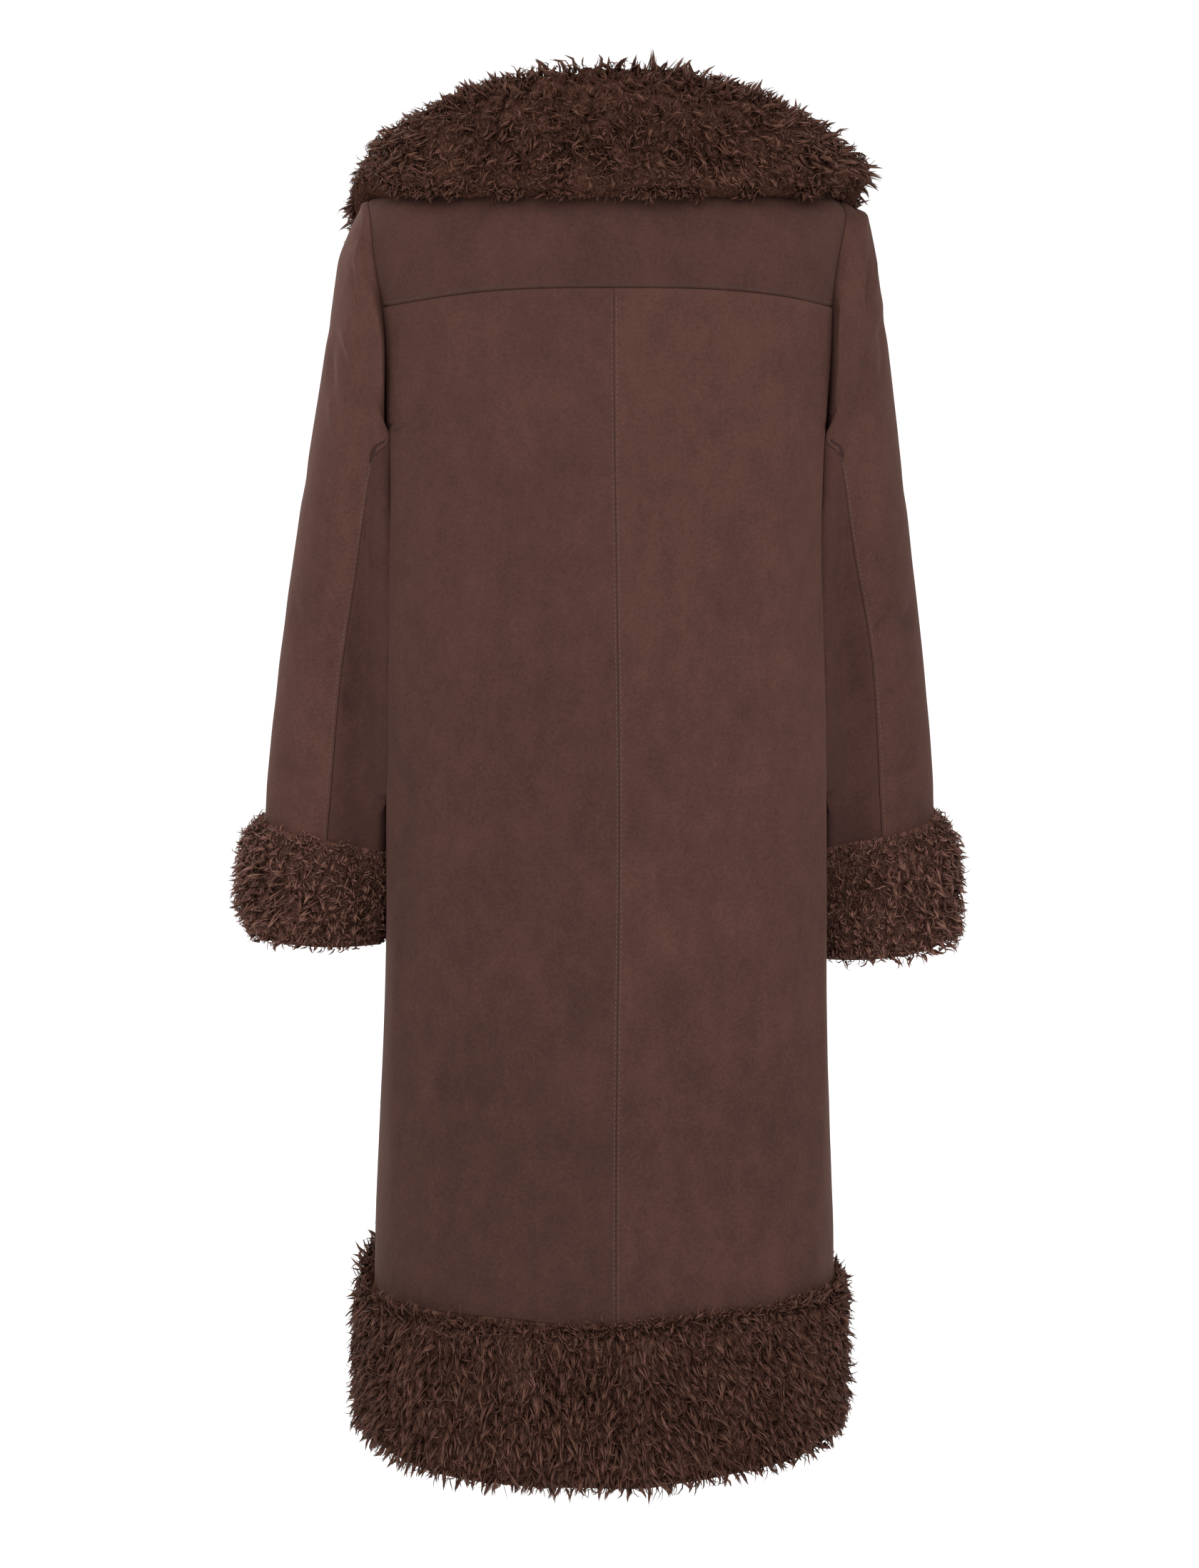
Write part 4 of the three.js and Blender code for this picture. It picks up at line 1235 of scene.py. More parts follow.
# Lighter and darker copies of one fur: the hem's is a little darker and the cuffs' much lighter than the collar's,
# painted light and shade where each lies.
FUR_TINTS = {"look_fur": (0.95, 0.95, 0.96), "look_fur_hem": (0.88, 0.9, 0.94),
             "look_fur_cuff": (1.46, 1.54, 1.66)}


# ------------------------------------------------------------------ settings
def colour_setting(name, text, screen):
    return FloatVectorProperty(name=name, description=text, size=3, subtype="COLOR", min=0, max=1,
                               default=linear(screen))


def number_setting(name, text, default, low, high):
    return FloatProperty(name=name, description=text, default=default, min=low, max=high)


class CoatClothSettings(bpy.types.PropertyGroup):
    """Sizes and colours of the suede-look cloth."""

    pitch: number_setting("Mesh pitch", "Spacing of the cloth's mesh lines, in mm", 9.0, 3.0, 30.0)
    groove_depth: number_setting("Seam depth", "How far sewn edges turn in, in mm", 0.9, 0.0, 3.0)
    stitch_pitch: number_setting("Stitch pitch", "From stitch to stitch, in mm", 4.3, 2.0, 10.0)
    stitch_length: number_setting("Stitch length", "Length of a stitch, in mm", 3.0, 1.0, 8.0)
    mottling: number_setting("Mottling", "How much the nap's shade varies", 0.34, 0.0, 1.0)
    sheen: number_setting("Sheen", "The nap's bloom at grazing angles", 0.2, 0.0, 1.0)
    colour: colour_setting("Suede", "Colour of the suede-look cloth", (0.279, 0.181, 0.155))
    # The under-sleeves and the under-collar take this darker copy of the suede: painted shade, where they lie beside
    # the body and under the collar.
    shaded: colour_setting("Under suede", "Colour of the under-sleeves", (0.241, 0.151, 0.133))
    thread_colour: colour_setting("Thread", "Colour of the topstitching", (0.30, 0.2, 0.172))


class CoatFurSettings(bpy.types.PropertyGroup):
    """Sizes and colours of the faux fur."""

    lock_length: number_setting("Lock length", "Lock length over the fur's reach", 1.25, 0.3, 3.0)
    curl: number_setting("Curl", "How far the locks curl aside, in mm", 3.4, 0.0, 12.0)
    strand_width: number_setting("Strand width", "Times a strand's plain width", 1.0, 0.3, 3.0)
    fur_roughness: number_setting("Fur roughness", "Roughness of the fibres", 0.38, 0.05, 1.0)
    fur_dark: colour_setting("Fur dark", "Colour of the darker locks", (0.215, 0.13, 0.102))
    fur_light: colour_setting("Fur light", "Colour of the lighter tips", (0.485, 0.338, 0.282))


class CoatStageSettings(bpy.types.PropertyGroup):
    """The floor, the lights and the camera."""

    floor_level: number_setting("Floor level", "Height of the floor in metres", -1.45, -5.0, 0.0)
    lens: number_setting("Lens", "Camera lens in millimetres", 99.8, 20.0, 300.0)
    distance: number_setting("Distance", "Camera distance in metres", 3.74, 1.0, 20.0)
    world: number_setting("Backdrop", "Brightness of the white backdrop", 1.06, 0.0, 5.0)
    surround: number_setting("Surround", "Light shed by the white surround", 0.55, 0.0, 5.0)
    sun: number_setting("Main light", "Strength of the broad main light", 2.4, 0.0, 10.0)


def cloth_settings():
    return bpy.context.scene.coat_cloth


def fur_settings():
    return bpy.context.scene.coat_fur


# ------------------------------------------------------------------ sewn panels
def ring_edge(turn, down, side):
    """A turn moved along the ring by half a seam's gap."""
    p = ring_point(turn, down)
    return turn + side * HALF_SEAM / np.hypot(p[..., 0], p[..., 1])


def arm_edge_turn(down, facing):
    y = np.where(down >= UNDERARM_DOWN, SIDE_SEAM_Y, armhole_y(down, facing))
    return ring_edge(turn_at_y(down, y), down, -facing)


def front_edge_turn(down):
    return math.pi - FRONT_GAP / 2 / read(BODY, down)["front"]


def ring_columns(shares, facing):
    """The place on the yoke seam or chest line of each column of a back or front."""
    down = YOKE_SIDE_DOWN if facing > 0 else CHEST_DOWN
    start = ring_edge(0.0, down, 1) if facing > 0 else front_edge_turn(down)
    turns = lerp(start, arm_edge_turn(np.array(down), facing), shares)
    return ring_point(turns, down)[..., 0]


def seam_wander(x, down):
    """How far aside the centre back seam wanders, as it was sewn."""
    return (2.0 - 5.0 * ramp(down, 130, 550) + 2.4 * ramp(down, 560, 860)) * bump(x, 0, 60)


def bowed_out(p):
    """How far the left armhole bows out behind the shoulder, where the sleeve pulls on it."""
    x, y, z = axes(p)
    return 8.0 * bump(z, -68, 55) * ramp(x, 150, 185) * ramp(x, 229, 201) * ramp(y, -20, 20)


def leant_in(p):
    """How far the sleeve and the back's edge lean in on the right, for places with x counted
    outwards. The armhole's top stands out a little there."""
    x, y, z = axes(p)
    lean = 8.0 * bump(-z, 300, 150) - 7.0 * bump(-z, 10, 50)
    return lean * ramp(x, 140, 180) * ramp(x, 229, 201) * ramp(y, 8, 48)


def armhole_shift(p):
    """How far aside the cloth moves behind each shoulder: places have their own sign of x."""
    return bowed_out(p) + leant_in(p * np.array((-1.0, 1.0, 1.0)))


def hem_dip(x):
    """How much lower the hem's seam runs behind, left of the middle, and higher at the right."""
    return 8.0 * bump(x, 25, 55) - 6.0 * ramp(-x, 110, 170)


def skirt_levels(pitch):
    """Levels of a back's or front's mesh lines, from the hem's seam up to the underarm."""
    length = HEM_SEAM_DOWN - UNDERARM_DOWN
    levels = HEM_SEAM_DOWN - HALF_SEAM - edge_spread(length, pitch)[:-4] * length
    return np.append(levels[levels > UNDERARM_DOWN + pitch * 0.6], UNDERARM_DOWN)


def back_panel(side, pitch):
    shares = edge_spread(238.0, pitch)
    top_down = yoke_seam_down(ring_columns(shares, 1)) + HALF_SEAM
    above = 110.0                # about how far it is from the underarm up to the yoke
    top = np.append(np.linspace(0, 1, 12)[1:-2], 1 - np.array(EDGE_LINES[::-1]) / above)
    down = np.stack([np.full(len(shares), level) for level in skirt_levels(pitch)]
                    + [lerp(UNDERARM_DOWN, top_down, share) for share in top])
    turn = side * lerp(ring_edge(0.0 * down, down, 1), arm_edge_turn(down, 1), shares[None])
    p, n, _ = on_ring(turn, down)
    x, y, _ = axes(p)
    # The cloth stands up a little along the line where the sleeve presses against it.
    y += 9.0 * bump(np.abs(x), 186, 6) * ramp(down, 90, 150) * ramp(down, 940, 740) * ramp(y, 0, 40)
    x += seam_wander(x, down) + armhole_shift(p)
    p[..., 2] -= hem_dip(x) * ramp(down, 800, 960)
    return p, n


def front_panel(side, pitch):
    shares = edge_spread(300.0, pitch)
    down = np.append(skirt_levels(pitch), np.linspace(UNDERARM_DOWN, CHEST_DOWN, 9)[1:])
    down = np.repeat(down[:, None], len(shares), 1)
    low = on_ring(side * lerp(front_edge_turn(down), arm_edge_turn(down, -1), shares[None]), down)
    lift = np.append(np.linspace(0, 1, 22)[1:-1], 1 - np.array((0.03, 0.018, 0.008, 0)))
    high = on_over(*np.meshgrid(side * ring_columns(shares, -1), lift), -1)
    x, y, _ = axes(high[0][-1])
    y -= np.where(np.abs(x) > NECK_HALF - 1, HALF_SEAM, 0)
    return tuple(np.concatenate([a, b]) for a, b in zip(low[:2], high))


def yoke_panel(pitch):
    half = ring_columns(edge_spread(238.0, pitch), 1)
    across = np.concatenate([-half[:0:-1], [0.0], half[1:]])
    close = np.array((0.045, 0.026, 0.015, 0.007, 0))
    lift = np.concatenate([close[::-1], np.linspace(0.045, 0.955, 24)[1:-1], 1 - close])
    p, n, _ = on_over(*np.meshgrid(across, lift), 1)
    p[0, :, 2] += HALF_SEAM
    p[-1, :, 1] += np.where(np.abs(p[-1, :, 0]) > NECK_HALF - 1, HALF_SEAM, 0)
    p[..., 0] += armhole_shift(p)
    return p, n


def sleeve_grid(start, end, width, pitch):
    """Degrees and steps of a sleeve panel's grid, between two seams or edges."""
    # The mesh is closer over the sleeve's head. Below it the sleeve is this long.
    head, rest, half_gap = 190.0, 372.0, 0.3
    lengths = np.append(np.arange(0.0, head, pitch * 0.5), head + edge_spread(rest, pitch) * rest)
    steps = np.minimum(np.interp(lengths, SLEEVE_LENGTHS[1], SLEEVE_LENGTHS[0]), CUFF_SEAM)
    seams = read(SLEEVE_SEAMS, steps)
    gap = np.degrees(half_gap / read(SLEEVE, steps)["deep"])
    shares = edge_spread(width, pitch * 0.7)
    degrees = lerp((start(seams) + gap)[:, None], (end(seams) - gap)[:, None], shares[None])
    return degrees, np.repeat(steps[:, None], len(shares), 1)


def slope_in(p, step):
    """The left shoulder is held a little lower, so its sleeve head lies closer in."""
    x, _, z = axes(p)
    return (4.5 * bump(z, -120, 120) + 11.0 * ramp(z, -78, -18)) * ramp(step, 0, 1.2) \
        * ramp(x, 193, 213)


def press(p, step):
    """How far the sleeve's inner side presses back beside the coat, and fills the corner there."""
    x, y, z = axes(p)
    behind = y - np.interp(step, (0, 3, 5, 6, 9), (-12, -12, -27, -38, -61))
    lift = lerp(40.0, 56.0, ramp(-z, 380, 500)) \
        * bump(x, 190, lerp(11.0, 15.0, ramp(-z, 420, 520))) \
        * ramp(behind, 0, 26) * ramp(-z, 86, 146) \
        * lerp(0.5, 1.0, ramp(-z, 600, 450)) * ramp(-z, 720, 590) * ramp(step, 0, 0.4)
    room = np.maximum(0.0, 83.0 - y)
    return room * lift / np.maximum(room + 0.2 * lift, 1.0)


def settle(p, step):
    """How far the sleeve's inner side moves in, to lie flat against the coat's side."""
    x, y, z = axes(p)
    gap = x - side_x(-z, np.clip(y, -60.0, 60.0)) - 0.7
    return np.maximum(0.0, gap * ramp(gap, 14, 6) * ramp(y, 56, 26) * ramp(y, -70, -50)
                      * ramp(step, 1.2, 2.0) * ramp(-z, 560, 500))


def tuck(p, step):
    """How far the pressed part moves in, to follow the rounded corner of the back."""
    x, y, z = axes(p)
    gap = x - side_x(-z, np.clip(y, 0.0, 76.0)) - 0.3
    return np.maximum(0.0, gap * ramp(gap, 11, 5)) * ramp(y, 22, 38) * ramp(y, 92, 82) \
        * ramp(step, 1.2, 2.0) * ramp(-z, 590, 540)


def on_cuff(degrees, step):
    """A sleeve's surface as it carries on into the cuff, pressed beside the coat's back."""
    p, n, way = on_sleeve(degrees, step)
    p[..., 1] += press(p, step)
    return p, n, way


def sleeve_panel(grid, side):
    """A sleeve panel's points and normals, and its creases. At its head a seam allowance
    turns in under the body's cloth."""
    p, n, _ = on_sleeve(*grid)
    creases = sleeve_creases(*grid, p, side)
    x, y, _ = axes(p)
    step = grid[1]
    x -= settle(p, step)
    y += press(p, step)
    x -= tuck(p, step)
    x += bowed_out(p) - slope_in(p, step) if side > 0 else -leant_in(p)
    inward = unit((ARMHOLE_MIDDLE - p[:1]) * np.array((0.0, 1.0, 1.0)))
    rows = [p[:1] + inward * deep + np.array((-aside, 0.0, 0.0)) for aside, deep in ALLOWANCE]
    p, n = np.concatenate([*rows, p]), np.concatenate([n[:1]] * len(rows) + [n])
    return sided((p, n), side), np.concatenate([np.zeros((len(rows), p.shape[1])), creases])


# ------------------------------------------------------------------ fur pieces
def fur_backing(name, p, n, outer, inner, look, tube=False):
    """The wool that the locks grow from, with its lumpy outer face."""
    return finish_piece(shell(f"{name}_wool", p, n, outer, inner, look, tube), "fur", name)


def curly(p, coarse, combed, fine, seed):
    """How much the wool's outer face stands in and out, round 1, in coarse and fine curls."""
    return 1 + 0.2 * lumps(p, coarse, seed) + 0.2 * lumps(combed, fine, seed + 1)


def collar_reach(degrees, along, p):
    """How far the collar's fur stands out. It is fuller over the right shoulder."""
    x, y, z = axes(p)
    aside = np.abs(x)
    edge = 1 - 0.2 * np.maximum(0, along - 0.8) / 0.2
    right = 19.0 * bump(x, -212, 30, z, -15, 24)
    left = -6.5 * bump(x, 200, 34, z, 6, 36) - 3.5 * ramp(aside, 46, 86) * ramp(z, 26, 56) \
        - np.where(x > 0, 8.0, 3.5) * bump(aside, 156, 36) * ramp(z, 10, 40)
    front = 9.0 * bump(x, 206, 24, y, -78, 24)
    full = read(COLLAR, np.abs(degrees))["fur"]
    return lerp(10.0, full, ramp(along, 0, 0.5)) * edge + right + left + front


def collar_comb(g, n, down, rng):
    """Locks fan up and out over the roll and fall with the collar towards its edge."""
    out = unit(g * np.array((1.0, 1.0, 0.0)) + np.array((0, 10.0, 0)))
    high = ramp(g[:, 2:3], 12, 72)
    lay = down * (1.1 - 0.75 * high) + out * 0.35
    lay[:, 2] += 0.55 * high[:, 0] - 0.25 * (1 - high[:, 0])
    # A tuft at the left front shoulder hangs out over the sleeve.
    tuft = bump(g[:, 0], 218, 34, g[:, 1], -80, 28)[:, None]
    lay = lay * (1 - 0.8 * tuft) + tuft * np.array((1.1, 0.15, -1.4))
    return lay + rng.normal(0, 0.36, g.shape)


def collar_locks(part, low, high, count, seed):
    """The locks on one part of the collar, from low to high degrees."""
    def place(u, v):
        return lerp(low, high, u), 0.04 + 0.93 * v

    def reach(u, v):
        degrees, along = place(u, v)
        p = leaf_point(degrees, along)
        ends = smooth((1 - along) / 0.1) * 0.35 + 0.65
        tuft = bump(p[..., 0], 206, 24, p[..., 1], -78, 26)
        return collar_reach(degrees, along, p) * (ends + 0.3 * tuft)

    def weight(u, v):
        return np.where(v < 0.3, 0.4, np.where(v > 0.9, 1.5, 1.0))

    return fur(f"collar_fur_locks_{part}", lambda u, v: on_leaf(*place(u, v)), (90, 40), count,
               seed, collar_comb, reach, "look_fur_locks", lock=8.5, weight=weight)


def collar_edge(u, v):
    """The strip along the collar's outer edge that its tufts grow from."""
    q, m, down = on_leaf(lerp(-150, 150, u), 0.985 + 0.02 * v)
    return q + m * (1.0 + 9.0 * (1 - v))[..., None], m, down


def collar_shoulder(u, v):
    """The place over the left shoulder that the long tuft grows from."""
    q, m, down = on_leaf(lerp(103, 124, u), 0.84 + 0.15 * v)
    return q + m * 8.0, m, down


def outward(turn):
    """How far outward a place on the sleeve looks, from 0 to 1."""
    return (1 + np.cos(np.radians(turn))) / 2


def cuff_room(p, n, tall):
    """How far a cuff's fur can stand before it meets the coat's side."""
    gap = np.abs(p[..., 0]) - side_x(-p[..., 2], p[..., 1]) - SLEEVE_CLEAR
    return np.where(n[..., 0] < -0.05, np.maximum(0.3, gap / np.maximum(-n[..., 0], 0.05)), tall)


def cuff_last(turn, side):
    """The cuff's lower edge, in sleeve steps. It hangs lowest on the outer side."""
    return CUFF_END + lerp(*((-0.04, 0.07) if side > 0 else (0.15, 0.18)), outward(turn))


def cuff_wool(name, side):
    """The wool starts under the sleeve's cloth and swells out below the seam."""
    share, turn = np.meshgrid(np.append((-0.05, -0.01), np.linspace(0, 1, 30)),
                              np.linspace(-180, 180, 97)[:-1], indexing="ij")
    hidden = share < 0
    last = cuff_last(turn, side)
    step = np.where(hidden, CUFF_SEAM + share, lerp(CUFF_SEAM, last, share))
    p, n, _ = on_cuff(turn, step)
    tall = lerp(3.0, 22.0, outward(turn))
    ends = np.sqrt(smooth((last - step) / 0.1)) * 0.75 + 0.25
    ends = ends * (smooth((step - CUFF_SEAM + 0.05) / 0.34) * 0.98 + 0.02)
    combed = p * np.array((1.0, 1.0, 0.55))
    outer = tall * 0.8 * ends * curly(p, 11.0, combed, 6.0, 13)
    outer = np.where(hidden, -CLOTH - 0.2, np.minimum(outer, cuff_room(p, n, tall)))
    inner = np.where(hidden, -CLOTH - 1.4, -CLOTH)
    return fur_backing(name, *sided((p, n), side), outer, inner, "look_fur_cuff_wool", tube=True)


def cuff_locks(name, side, seed):
    """The locks on one cuff."""
    # The left cuff's fur thins sooner towards its lower edge, and its locks lean out more.
    low, close, lean = (0.5, 0.3, 0.6) if side > 0 else (0.75, 0.14, 0.35)

    def left(u, v):
        turn = lerp(-180, 180, u)
        return turn, on_cuff(turn, lerp(CUFF_SEAM + 0.01, cuff_last(turn, side), v))

    def sample(u, v):
        return sided(left(u, v)[1], side)

    def reach(u, v):
        turn, (q, m, _) = left(u, v)
        tall = lerp(4.0, 22.0, outward(turn)) + 8 * np.abs(np.sin(np.radians(turn)))
        ends = smooth((1 - v) / close) * (1 - low) + low
        ends = ends * (smooth((v + 0.1) / 0.35) * 0.8 + 0.2)
        return np.minimum(np.maximum(tall, 6.0), np.maximum(5.0, cuff_room(q, m, tall))) * ends

    def comb(g, n, down, rng):
        lay = down * 0.9 + np.array((side * lean, 0.0, 0.0))
        # Some of the locks at the seam turn up over the sleeve's cloth.
        near = smooth(1 - (-g[:, 2] - 576.0 + 0.16 * (np.abs(g[:, 0]) - 190)) / 12.0)
        lay[:, 2] += 1.7 * (near * (rng.random(len(g)) < 0.4))
        return lay + rng.normal(0, 0.17, g.shape)

    def guard(paths):
        """Keeps the wisps out of the coat's side."""
        x, y, z = axes(paths)
        outside = np.maximum(x * side, side_x(-z, y) + 0.6)
        paths[..., 0] = np.where(-z > 500, outside, x * side) * side
        return paths

    def weight(u, v):
        return np.where(np.abs(u - 0.5) > 0.36, 0.6, 1.0) * np.where(v < 0.1, 1.7, 1.0)

    return fur(name, sample, (60, 24), 4400, seed, comb, reach, "look_fur_cuff_locks", lock=8.2,
               weight=weight, guard=guard, start=0.72, stray=0.24, curls=0.55, open_curl=0.9,
               core=0.92)


def cuff_edge(side):
    """The strip that a cuff's tufts grow from."""
    def edge(u, v):
        q, m, down = sided(on_cuff(lerp(-180, 180, u), CUFF_SEAM + 0.004 + 0.05 * v), side)
        return q + m * (1.5 * v)[..., None], m, down

    return edge


def hem_drop(turn):
    """The band hangs lower at the centre back and is rounded off at the sides."""
    return 17.0 * np.maximum(np.cos(turn), 0) ** 1.4 - 9.0 * np.abs(np.sin(turn)) ** 8 \
        + 3.5 * np.sin(turn) * (np.cos(turn) > 0)


def hem_climb(turn):
    """At the sides the front bands reach up a little over the cloth."""
    degrees = np.degrees(turn)
    return 24.0 * bump(degrees, 116, 26) + 10.0 * bump(degrees, -112, 20)


def hem_reach(turn):
    """How far the hem's fur stands out. It lies flatter on the wearer's right."""
    degrees = np.degrees(turn)
    return 17.5 - 7.0 * bump(degrees, -88, 34) - 2.0 * bump(degrees, 88, 34)


def hem_comb(g, n, down, rng):
    """The locks hang, and on the wearer's right they lean towards the side."""
    lay = np.zeros(g.shape)
    lay[:, 0] = -0.05 - 0.3 * ramp(-g[:, 0], 6, 46) * ramp(g[:, 0], -205, -145)
    lay[:, 2] = -1.0
    near = smooth(1 - (-g[:, 2] - HEM_SEAM_DOWN) / 9.0)
    lifted = near * (rng.random(len(g)) < 0.35 + 0.4 * ramp(np.abs(g[:, 0]), 110, 160))
    lay[:, 2] += 2.0 * lifted
    return lay + rng.normal(0, 0.17, g.shape)


def hem_weight(u, v):
    return np.where(v < 0.07, 1.8, 1.0)


def near_side(down, side):
    """The turn of the side seam, moved along the ring by half a seam's gap."""
    return ring_edge(turn_at_y(down, SIDE_SEAM_Y), down, side)


def hem_band(name, start, end, columns, locks, edge_tufts, seed):
    """One piece of the fur band, with its locks and tufts, between the turns of its two ends."""
    front = "front" in name

    def across(level, u):
        return lerp(start(level), end(level), u)

    def at_middle(u):
        """The turn at the band's middle, and how far the band climbs there."""
        turn = across(np.array(1030.0), u)
        return turn, hem_climb(turn) if front else 0 * turn

    def dipped(p, share):
        if not front:
            p[..., 2] -= hem_dip(p[..., 0]) * share

    share = np.linspace(0, 1, 38)[:, None]
    place = np.linspace(0, 1, columns + 1)
    if name == "hem_fur_front_left":
        # Its edge laps a little way under the right front's.
        place = np.append(place, (1.0006, 1.016))
    place = place[None]
    turn, rise = at_middle(place)
    down = lerp(HEM_SEAM_DOWN + HALF_SEAM - rise, HEM_DOWN - 14.0 + hem_drop(turn), share)
    turn = across(down, place)
    p, n, _ = on_ring(turn, down)
    dipped(p, 1 - share)
    far = edge_distance(p)
    ends = np.sqrt(smooth(far[1] / 14.0)) * 0.7 + 0.3
    ends = ends * (smooth(far[0] / 16.0) * 0.94 + 0.06)
    combed = p * np.array((1.0, 1.0, 0.4))
    outer = hem_reach(turn) * 0.76 * ends * curly(combed, 12.0, combed, 5.5, 15)
    inner = np.where(down < HEM_SEAM_DOWN, FUR_BASE, -CLOTH)
    outer = np.where(place > 1, -CLOTH - 0.4, np.maximum(outer, inner + 1.5))
    inner = np.where(place > 1, -CLOTH - 1.8, inner)
    backing = fur_backing(name, p, n, outer, inner, "look_fur_hem_wool")

    def sample(u, v):
        turn, rise = at_middle(u)
        level = lerp(HEM_SEAM_DOWN + 1.0 - rise, HEM_DOWN - 15.0 + hem_drop(turn), v)
        q, m, down = on_ring(across(level, u), level)
        dipped(q, 1 - v)
        return q, m, down

    def reach(u, v):
        ends = smooth(np.minimum(v / 0.1, (1 - v) / 0.1)) * 0.35 + 0.65
        return hem_reach(at_middle(u)[0]) * ends

    def edge(u, v):
        level = HEM_SEAM_DOWN + 0.5 - at_middle(u)[1] + 5.0 * v
        q, m, down = on_ring(across(level, u), level)
        dipped(q, 1)
        return q + m * (5.0 * v)[..., None], m, down

    look = "look_fur_hem_locks"
    pile = fur(name.replace("fur", "fur_locks"), sample, (110, 36), locks, seed, hem_comb, reach,
               look, lock=8.0, weight=hem_weight, length=2.5, stray=0.2, curl=0.75, curls=0.4,
               open_curl=0.5, curl_length=14.0, core=0.85)
    rim = tufts(name.replace("fur", "fur_tufts"), edge, edge_tufts, seed + 5, length=8.0,
                look=look, fall=-0.8, out=0.7, spread=0.45)
    declare(name, backing, [pile, rim])


# ------------------------------------------------------------------ operators
def declare(name, made, with_pieces=()):
    """States the cut of one sewn piece."""
    width, length, area = CUTS[name]
    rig.sheet(made, flat=(width, length), held="hung", area=area, with_pieces=list(with_pieces))


def face(holder, way):
    """Turns a light or a camera to look along a way."""
    holder.rotation_euler = Vector(way).to_track_quat("-Z", "Y").to_euler()


class COAT_OT_stage(bpy.types.Operator):
    """Sets out the pale floor, the soft white light and the camera behind the coat"""

    bl_idname = "coat.stage"
    bl_label = "Stage"

    def execute(self, context):
        scene = context.scene
        stage = scene.coat_stage
        scene.view_settings.view_transform = "Standard"
        world = scene.world = bpy.data.worlds.new("white_surround")
        world.use_nodes = True
        # The backdrop is white, and what it sheds on the coat is softer than the lamps' light.
        seen = node(world.node_tree, "ShaderNodeLightPath", "Is Camera Ray", {})
        feed(world.node_tree.nodes["Background"],
             {"Color": (1, 1, 1, 1),
              "Strength": seen * (stage.world - stage.surround) + stage.surround})
        bpy.ops.mesh.primitive_grid_add(x_subdivisions=2, y_subdivisions=2, size=80,
                                        location=(0, 0, stage.floor_level))
        floor = context.object
        floor.name = "pale_floor"
        material, _, place, shader = new_material("pale_floor")
        feed(shader, {"Base Color": blend(noise(place, 3.0, 3.0), (0.96,) * 3, (0.98,) * 3),
                      "Roughness": 0.8, "Emission Color": (1, 1, 1, 1), "Emission Strength": 0.16})
        floor.data.materials.append(material)
        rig.stage(floor)
        broad = bpy.data.lights.new("broad_light", "SUN")
        broad.energy, broad.angle = stage.sun, math.radians(55.0)
        face(put("broad_light", broad), (-0.04, -1.0, -0.78))
        for name, place, size, power in SOFTBOXES:
            lamp = bpy.data.lights.new(name, "AREA")
            lamp.shape, lamp.size, lamp.energy = "DISK", size, power
            holder = put(name, lamp)
            holder.location = place
            face(holder, Vector((0, 0, -0.5)) - holder.location)
        camera = bpy.data.cameras.new("camera")
        camera.lens, camera.sensor_width, camera.sensor_fit = stage.lens, 36.0, "AUTO"
        camera.dof.use_dof = False
        holder = scene.camera = put("camera", camera)
        angle, roll = math.radians(4.0), math.radians(0.15)
        holder.location = (stage.distance * math.sin(angle), stage.distance * math.cos(angle), 0)
        aim = Vector((0.0043, 0, -0.524)) - holder.location
        turned = aim.to_track_quat("-Z", "Y").to_matrix().to_4x4() @ Matrix.Rotation(roll, 4, "Z")
        holder.matrix_world = Matrix.Translation(holder.location) @ turned
        return {"FINISHED"}


class COAT_OT_body(bpy.types.Operator):
    """Makes the yoke, both backs and both fronts, with their topstitching"""

    bl_idname = "coat.body"
    bl_label = "Yoke, backs and fronts"

    def execute(self, context):
        pitch = cloth_settings().pitch
        plans = [("back_yoke", yoke_panel(pitch), "yoke", (1, 0.4, 0.4, 0.4), ("bottom", "top"),
                  "yoke_topstitching", "bottom", 3.0, "look_thread_dark")]
        for name, side in SIDES:
            lips = ("first", "bottom") if side > 0 else ("bottom",)
            plans += [
                (f"back_{name}", back_panel(side, pitch), f"{name}_back", (0, 1, 0.45, 0.4),
                 ("last", *lips), f"centre_back_topstitching_{name}", "first", 1.8, "look_thread"),
                (f"front_{name}", front_panel(side, pitch * 1.4), "front", (0, 0.4, 0.4, 0.3),
                 ("top", *lips), f"front_edge_topstitching_{name}", "first", 6.0, "look_thread"),
            ]
        sewn = [cloth_panel(name, panel, body_creases(*panel), f"look_suede_{look}", "suede",
                            seams, lips) for name, panel, look, seams, lips, *_ in plans]
        for (name, *_, row, edge, inset, look), (made, outside, n) in zip(plans, sewn):
            declare(name, made, [stitches(row, *edge_line(outside, n, edge, inset), look)])
        return {"FINISHED"}


class COAT_OT_sleeves(bpy.types.Operator):
    """Makes the two-piece sleeves with a row of topstitching beside each back seam"""

    bl_idname = "coat.sleeves"
    bl_label = "Sleeves"

    def execute(self, context):
        pitch = cloth_settings().pitch * 0.88
        upper = sleeve_grid(lambda s: -s["front"], lambda s: s["back"], 262.0, pitch)
        under = sleeve_grid(lambda s: s["back"], lambda s: 360 - s["front"], 150.0, pitch)
        seams = (0, 0, 0.5, 0.5)
        for name, side in SIDES:
            piece = f"sleeve_upper_{name}"
            made, outside, n = cloth_panel(piece, *sleeve_panel(upper, side),
                                           f"look_suede_sleeve_{name}", "suede", seams, ())
            # The topstitching starts where the seam comes out from beside the back.
            row = (part[17:] for part in edge_line(outside, n, "last", 3.0))
            declare(piece, made, [stitches(f"sleeve_topstitching_{name}", *row, "look_thread")])
            piece = f"sleeve_under_{name}"
            made, *_ = cloth_panel(piece, *sleeve_panel(under, side), "look_suede_under",
                                   "under_suede", seams, ("first", "last"))
            declare(piece, made)
        return {"FINISHED"}


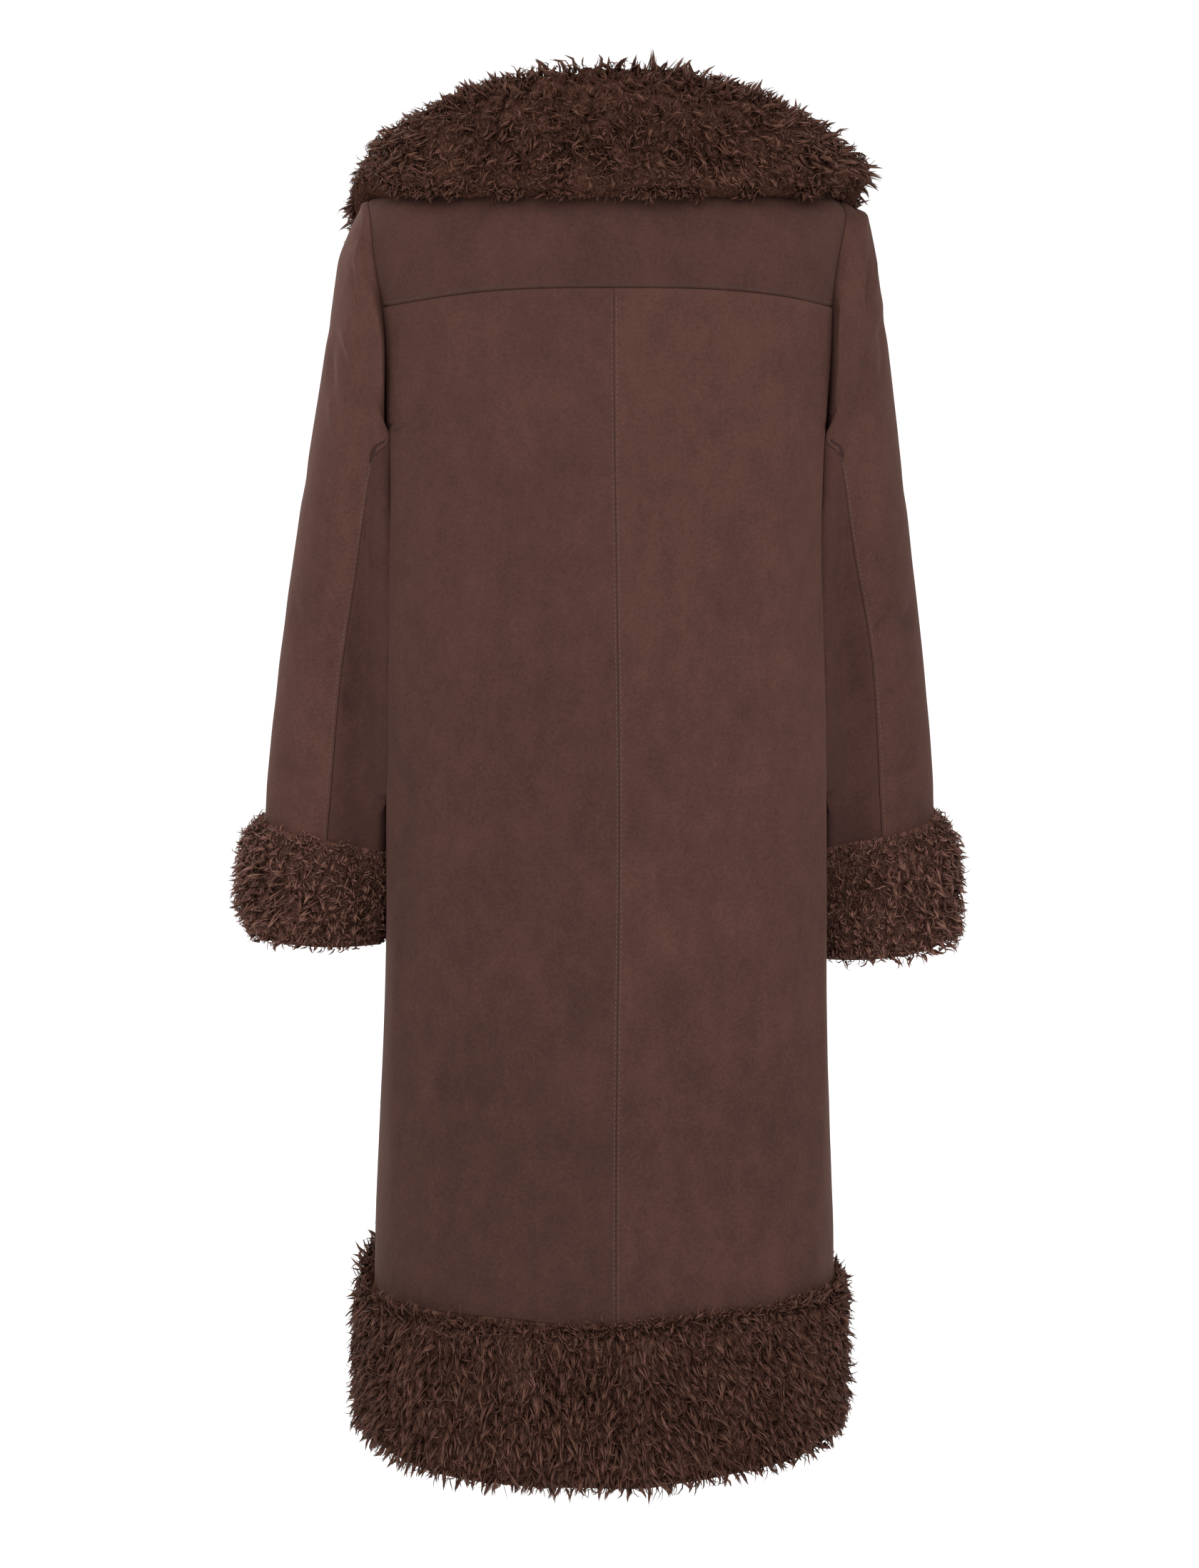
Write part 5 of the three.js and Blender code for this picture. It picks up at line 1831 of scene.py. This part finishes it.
class COAT_OT_collar(bpy.types.Operator):
    """Makes the plain under-collar and the big shaggy collar that lies over it"""

    bl_idname = "coat.collar"
    bl_label = "Collar"

    def execute(self, context):
        end = COLLAR_END_TURN
        p, n, _ = on_leaf(*np.meshgrid(np.linspace(-end, end, 121),
                                       np.append(np.linspace(0, 0.92, 22), 0.935), indexing="ij"))
        _, close = groove(edge_distance(p), (0.2, 0.2, 0.2, 0.2), 0)
        flat = np.zeros(p.shape[:2])
        under = shell("under_collar_cloth", p, n, flat, flat - CLOTH, "look_suede_under",
                      seam=close)
        declare("under_collar", finish_piece(under, "under_suede", "under_collar"))

        # The wool wraps round the collar's outer edge, so that the edge is soft and thick.
        degrees, along = np.meshgrid(np.linspace(-end, end, 211), np.linspace(0, 1, 40),
                                     indexing="ij")
        p, n, way = on_leaf(degrees, along)
        p = p + way * (2.6 * lumps(p, 24.0, 17) * smooth((along - 0.7) / 0.3))[..., None]
        bottom, top, _, outer_edge = edge_distance(p)
        ends = np.minimum(outer_edge, np.minimum(bottom, top))
        rounded = np.sqrt(smooth(ends / 13.0)) * 0.8 + 0.2
        outer = collar_reach(degrees, along, p) * 0.76 * rounded * curly(p, 11.0, p, 6.0, 11)
        inner = FUR_BASE - 6.0 * smooth(1 - outer_edge / 10.0)
        backing = fur_backing("collar_fur", p, n, outer, inner, "look_fur_wool")
        piles = [collar_locks("back", -112, 112, 9600, 21),
                 collar_locks("front_left", 112, end, 2250, 22),
                 collar_locks("front_right", -end, -112, 2250, 23),
                 tufts("collar_fur_tufts", collar_edge, 1350, 24, length=10.0,
                       look="look_fur_locks", fall=0.6, out=0.5, spread=0.4),
                 # A long tuft at the left front shoulder hangs out past the sleeve.
                 tufts("collar_fur_tufts_shoulder", collar_shoulder, 380, 25, length=15.0,
                       look="look_fur_cuff_locks", fall=0.0, out=0.3, spread=0.4,
                       toward=np.array((1.25, 0.2, -0.95)))]
        declare("collar_fur", backing, piles)
        return {"FINISHED"}


class COAT_OT_cuffs(bpy.types.Operator):
    """Makes the fur cuffs"""

    bl_idname = "coat.cuffs"
    bl_label = "Fur cuffs"

    def execute(self, context):
        for (name, side), seed in zip(SIDES, (31, 32)):
            backing = cuff_wool(f"cuff_fur_{name}", side)
            pile = cuff_locks(f"cuff_fur_locks_{name}", side, seed)
            rim = tufts(f"cuff_fur_tufts_{name}", cuff_edge(side), 800, seed + 2, length=9.0,
                        look="look_fur_cuff_locks", fall=-0.7, out=0.45, spread=0.55)
            declare(f"cuff_fur_{name}", backing, [pile, rim])
        return {"FINISHED"}


class COAT_OT_hem(bpy.types.Operator):
    """Makes the deep fur band round the hem in its three pieces"""

    bl_idname = "coat.hem"
    bl_label = "Fur hem band"

    def execute(self, context):
        hem_band("hem_fur_back", lambda d: -near_side(d, -1), lambda d: near_side(d, -1),
                 columns=166, locks=9300, edge_tufts=1150, seed=41)
        front = {"columns": 68, "locks": 2700, "edge_tufts": 450}
        hem_band("hem_fur_front_left", lambda d: near_side(d, 1), front_edge_turn,
                 seed=42, **front)
        hem_band("hem_fur_front_right", lambda d: -near_side(d, 1), lambda d: -front_edge_turn(d),
                 seed=43, **front)
        return {"FINISHED"}


class COAT_PT_panel(bpy.types.Panel):
    """The coat's pieces in the sidebar."""

    bl_idname = "COAT_PT_panel"
    bl_label = "Coat"
    bl_space_type = "VIEW_3D"
    bl_region_type = "UI"
    bl_category = "Coat"

    def draw(self, context):
        for step in STEPS:
            self.layout.operator(step.bl_idname)


STEPS = (COAT_OT_stage, COAT_OT_body, COAT_OT_sleeves, COAT_OT_collar, COAT_OT_cuffs, COAT_OT_hem)
SETTINGS = (("coat_cloth", CoatClothSettings), ("coat_fur", CoatFurSettings),
            ("coat_stage", CoatStageSettings))


def register():
    for kind in (*(group for _, group in SETTINGS), *STEPS, COAT_PT_panel):
        bpy.utils.register_class(kind)
    for name, group in SETTINGS:
        setattr(bpy.types.Scene, name, PointerProperty(type=group))


def unregister():
    for name, _ in SETTINGS:
        delattr(bpy.types.Scene, name)
    for kind in (COAT_PT_panel, *reversed(STEPS), *(group for _, group in reversed(SETTINGS))):
        bpy.utils.unregister_class(kind)


def main():
    register()
    bpy.ops.coat.stage()
    bpy.ops.coat.body()
    bpy.ops.coat.sleeves()
    bpy.ops.coat.collar()
    bpy.ops.coat.cuffs()
    bpy.ops.coat.hem()
    sizes = {"cad": [list(c) for c in CAD_BOX], "visual": [list(c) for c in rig.bounds()]}
    with open("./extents.json", "w") as out:
        json.dump(sizes, out)


if __name__ == "__main__":
    main()
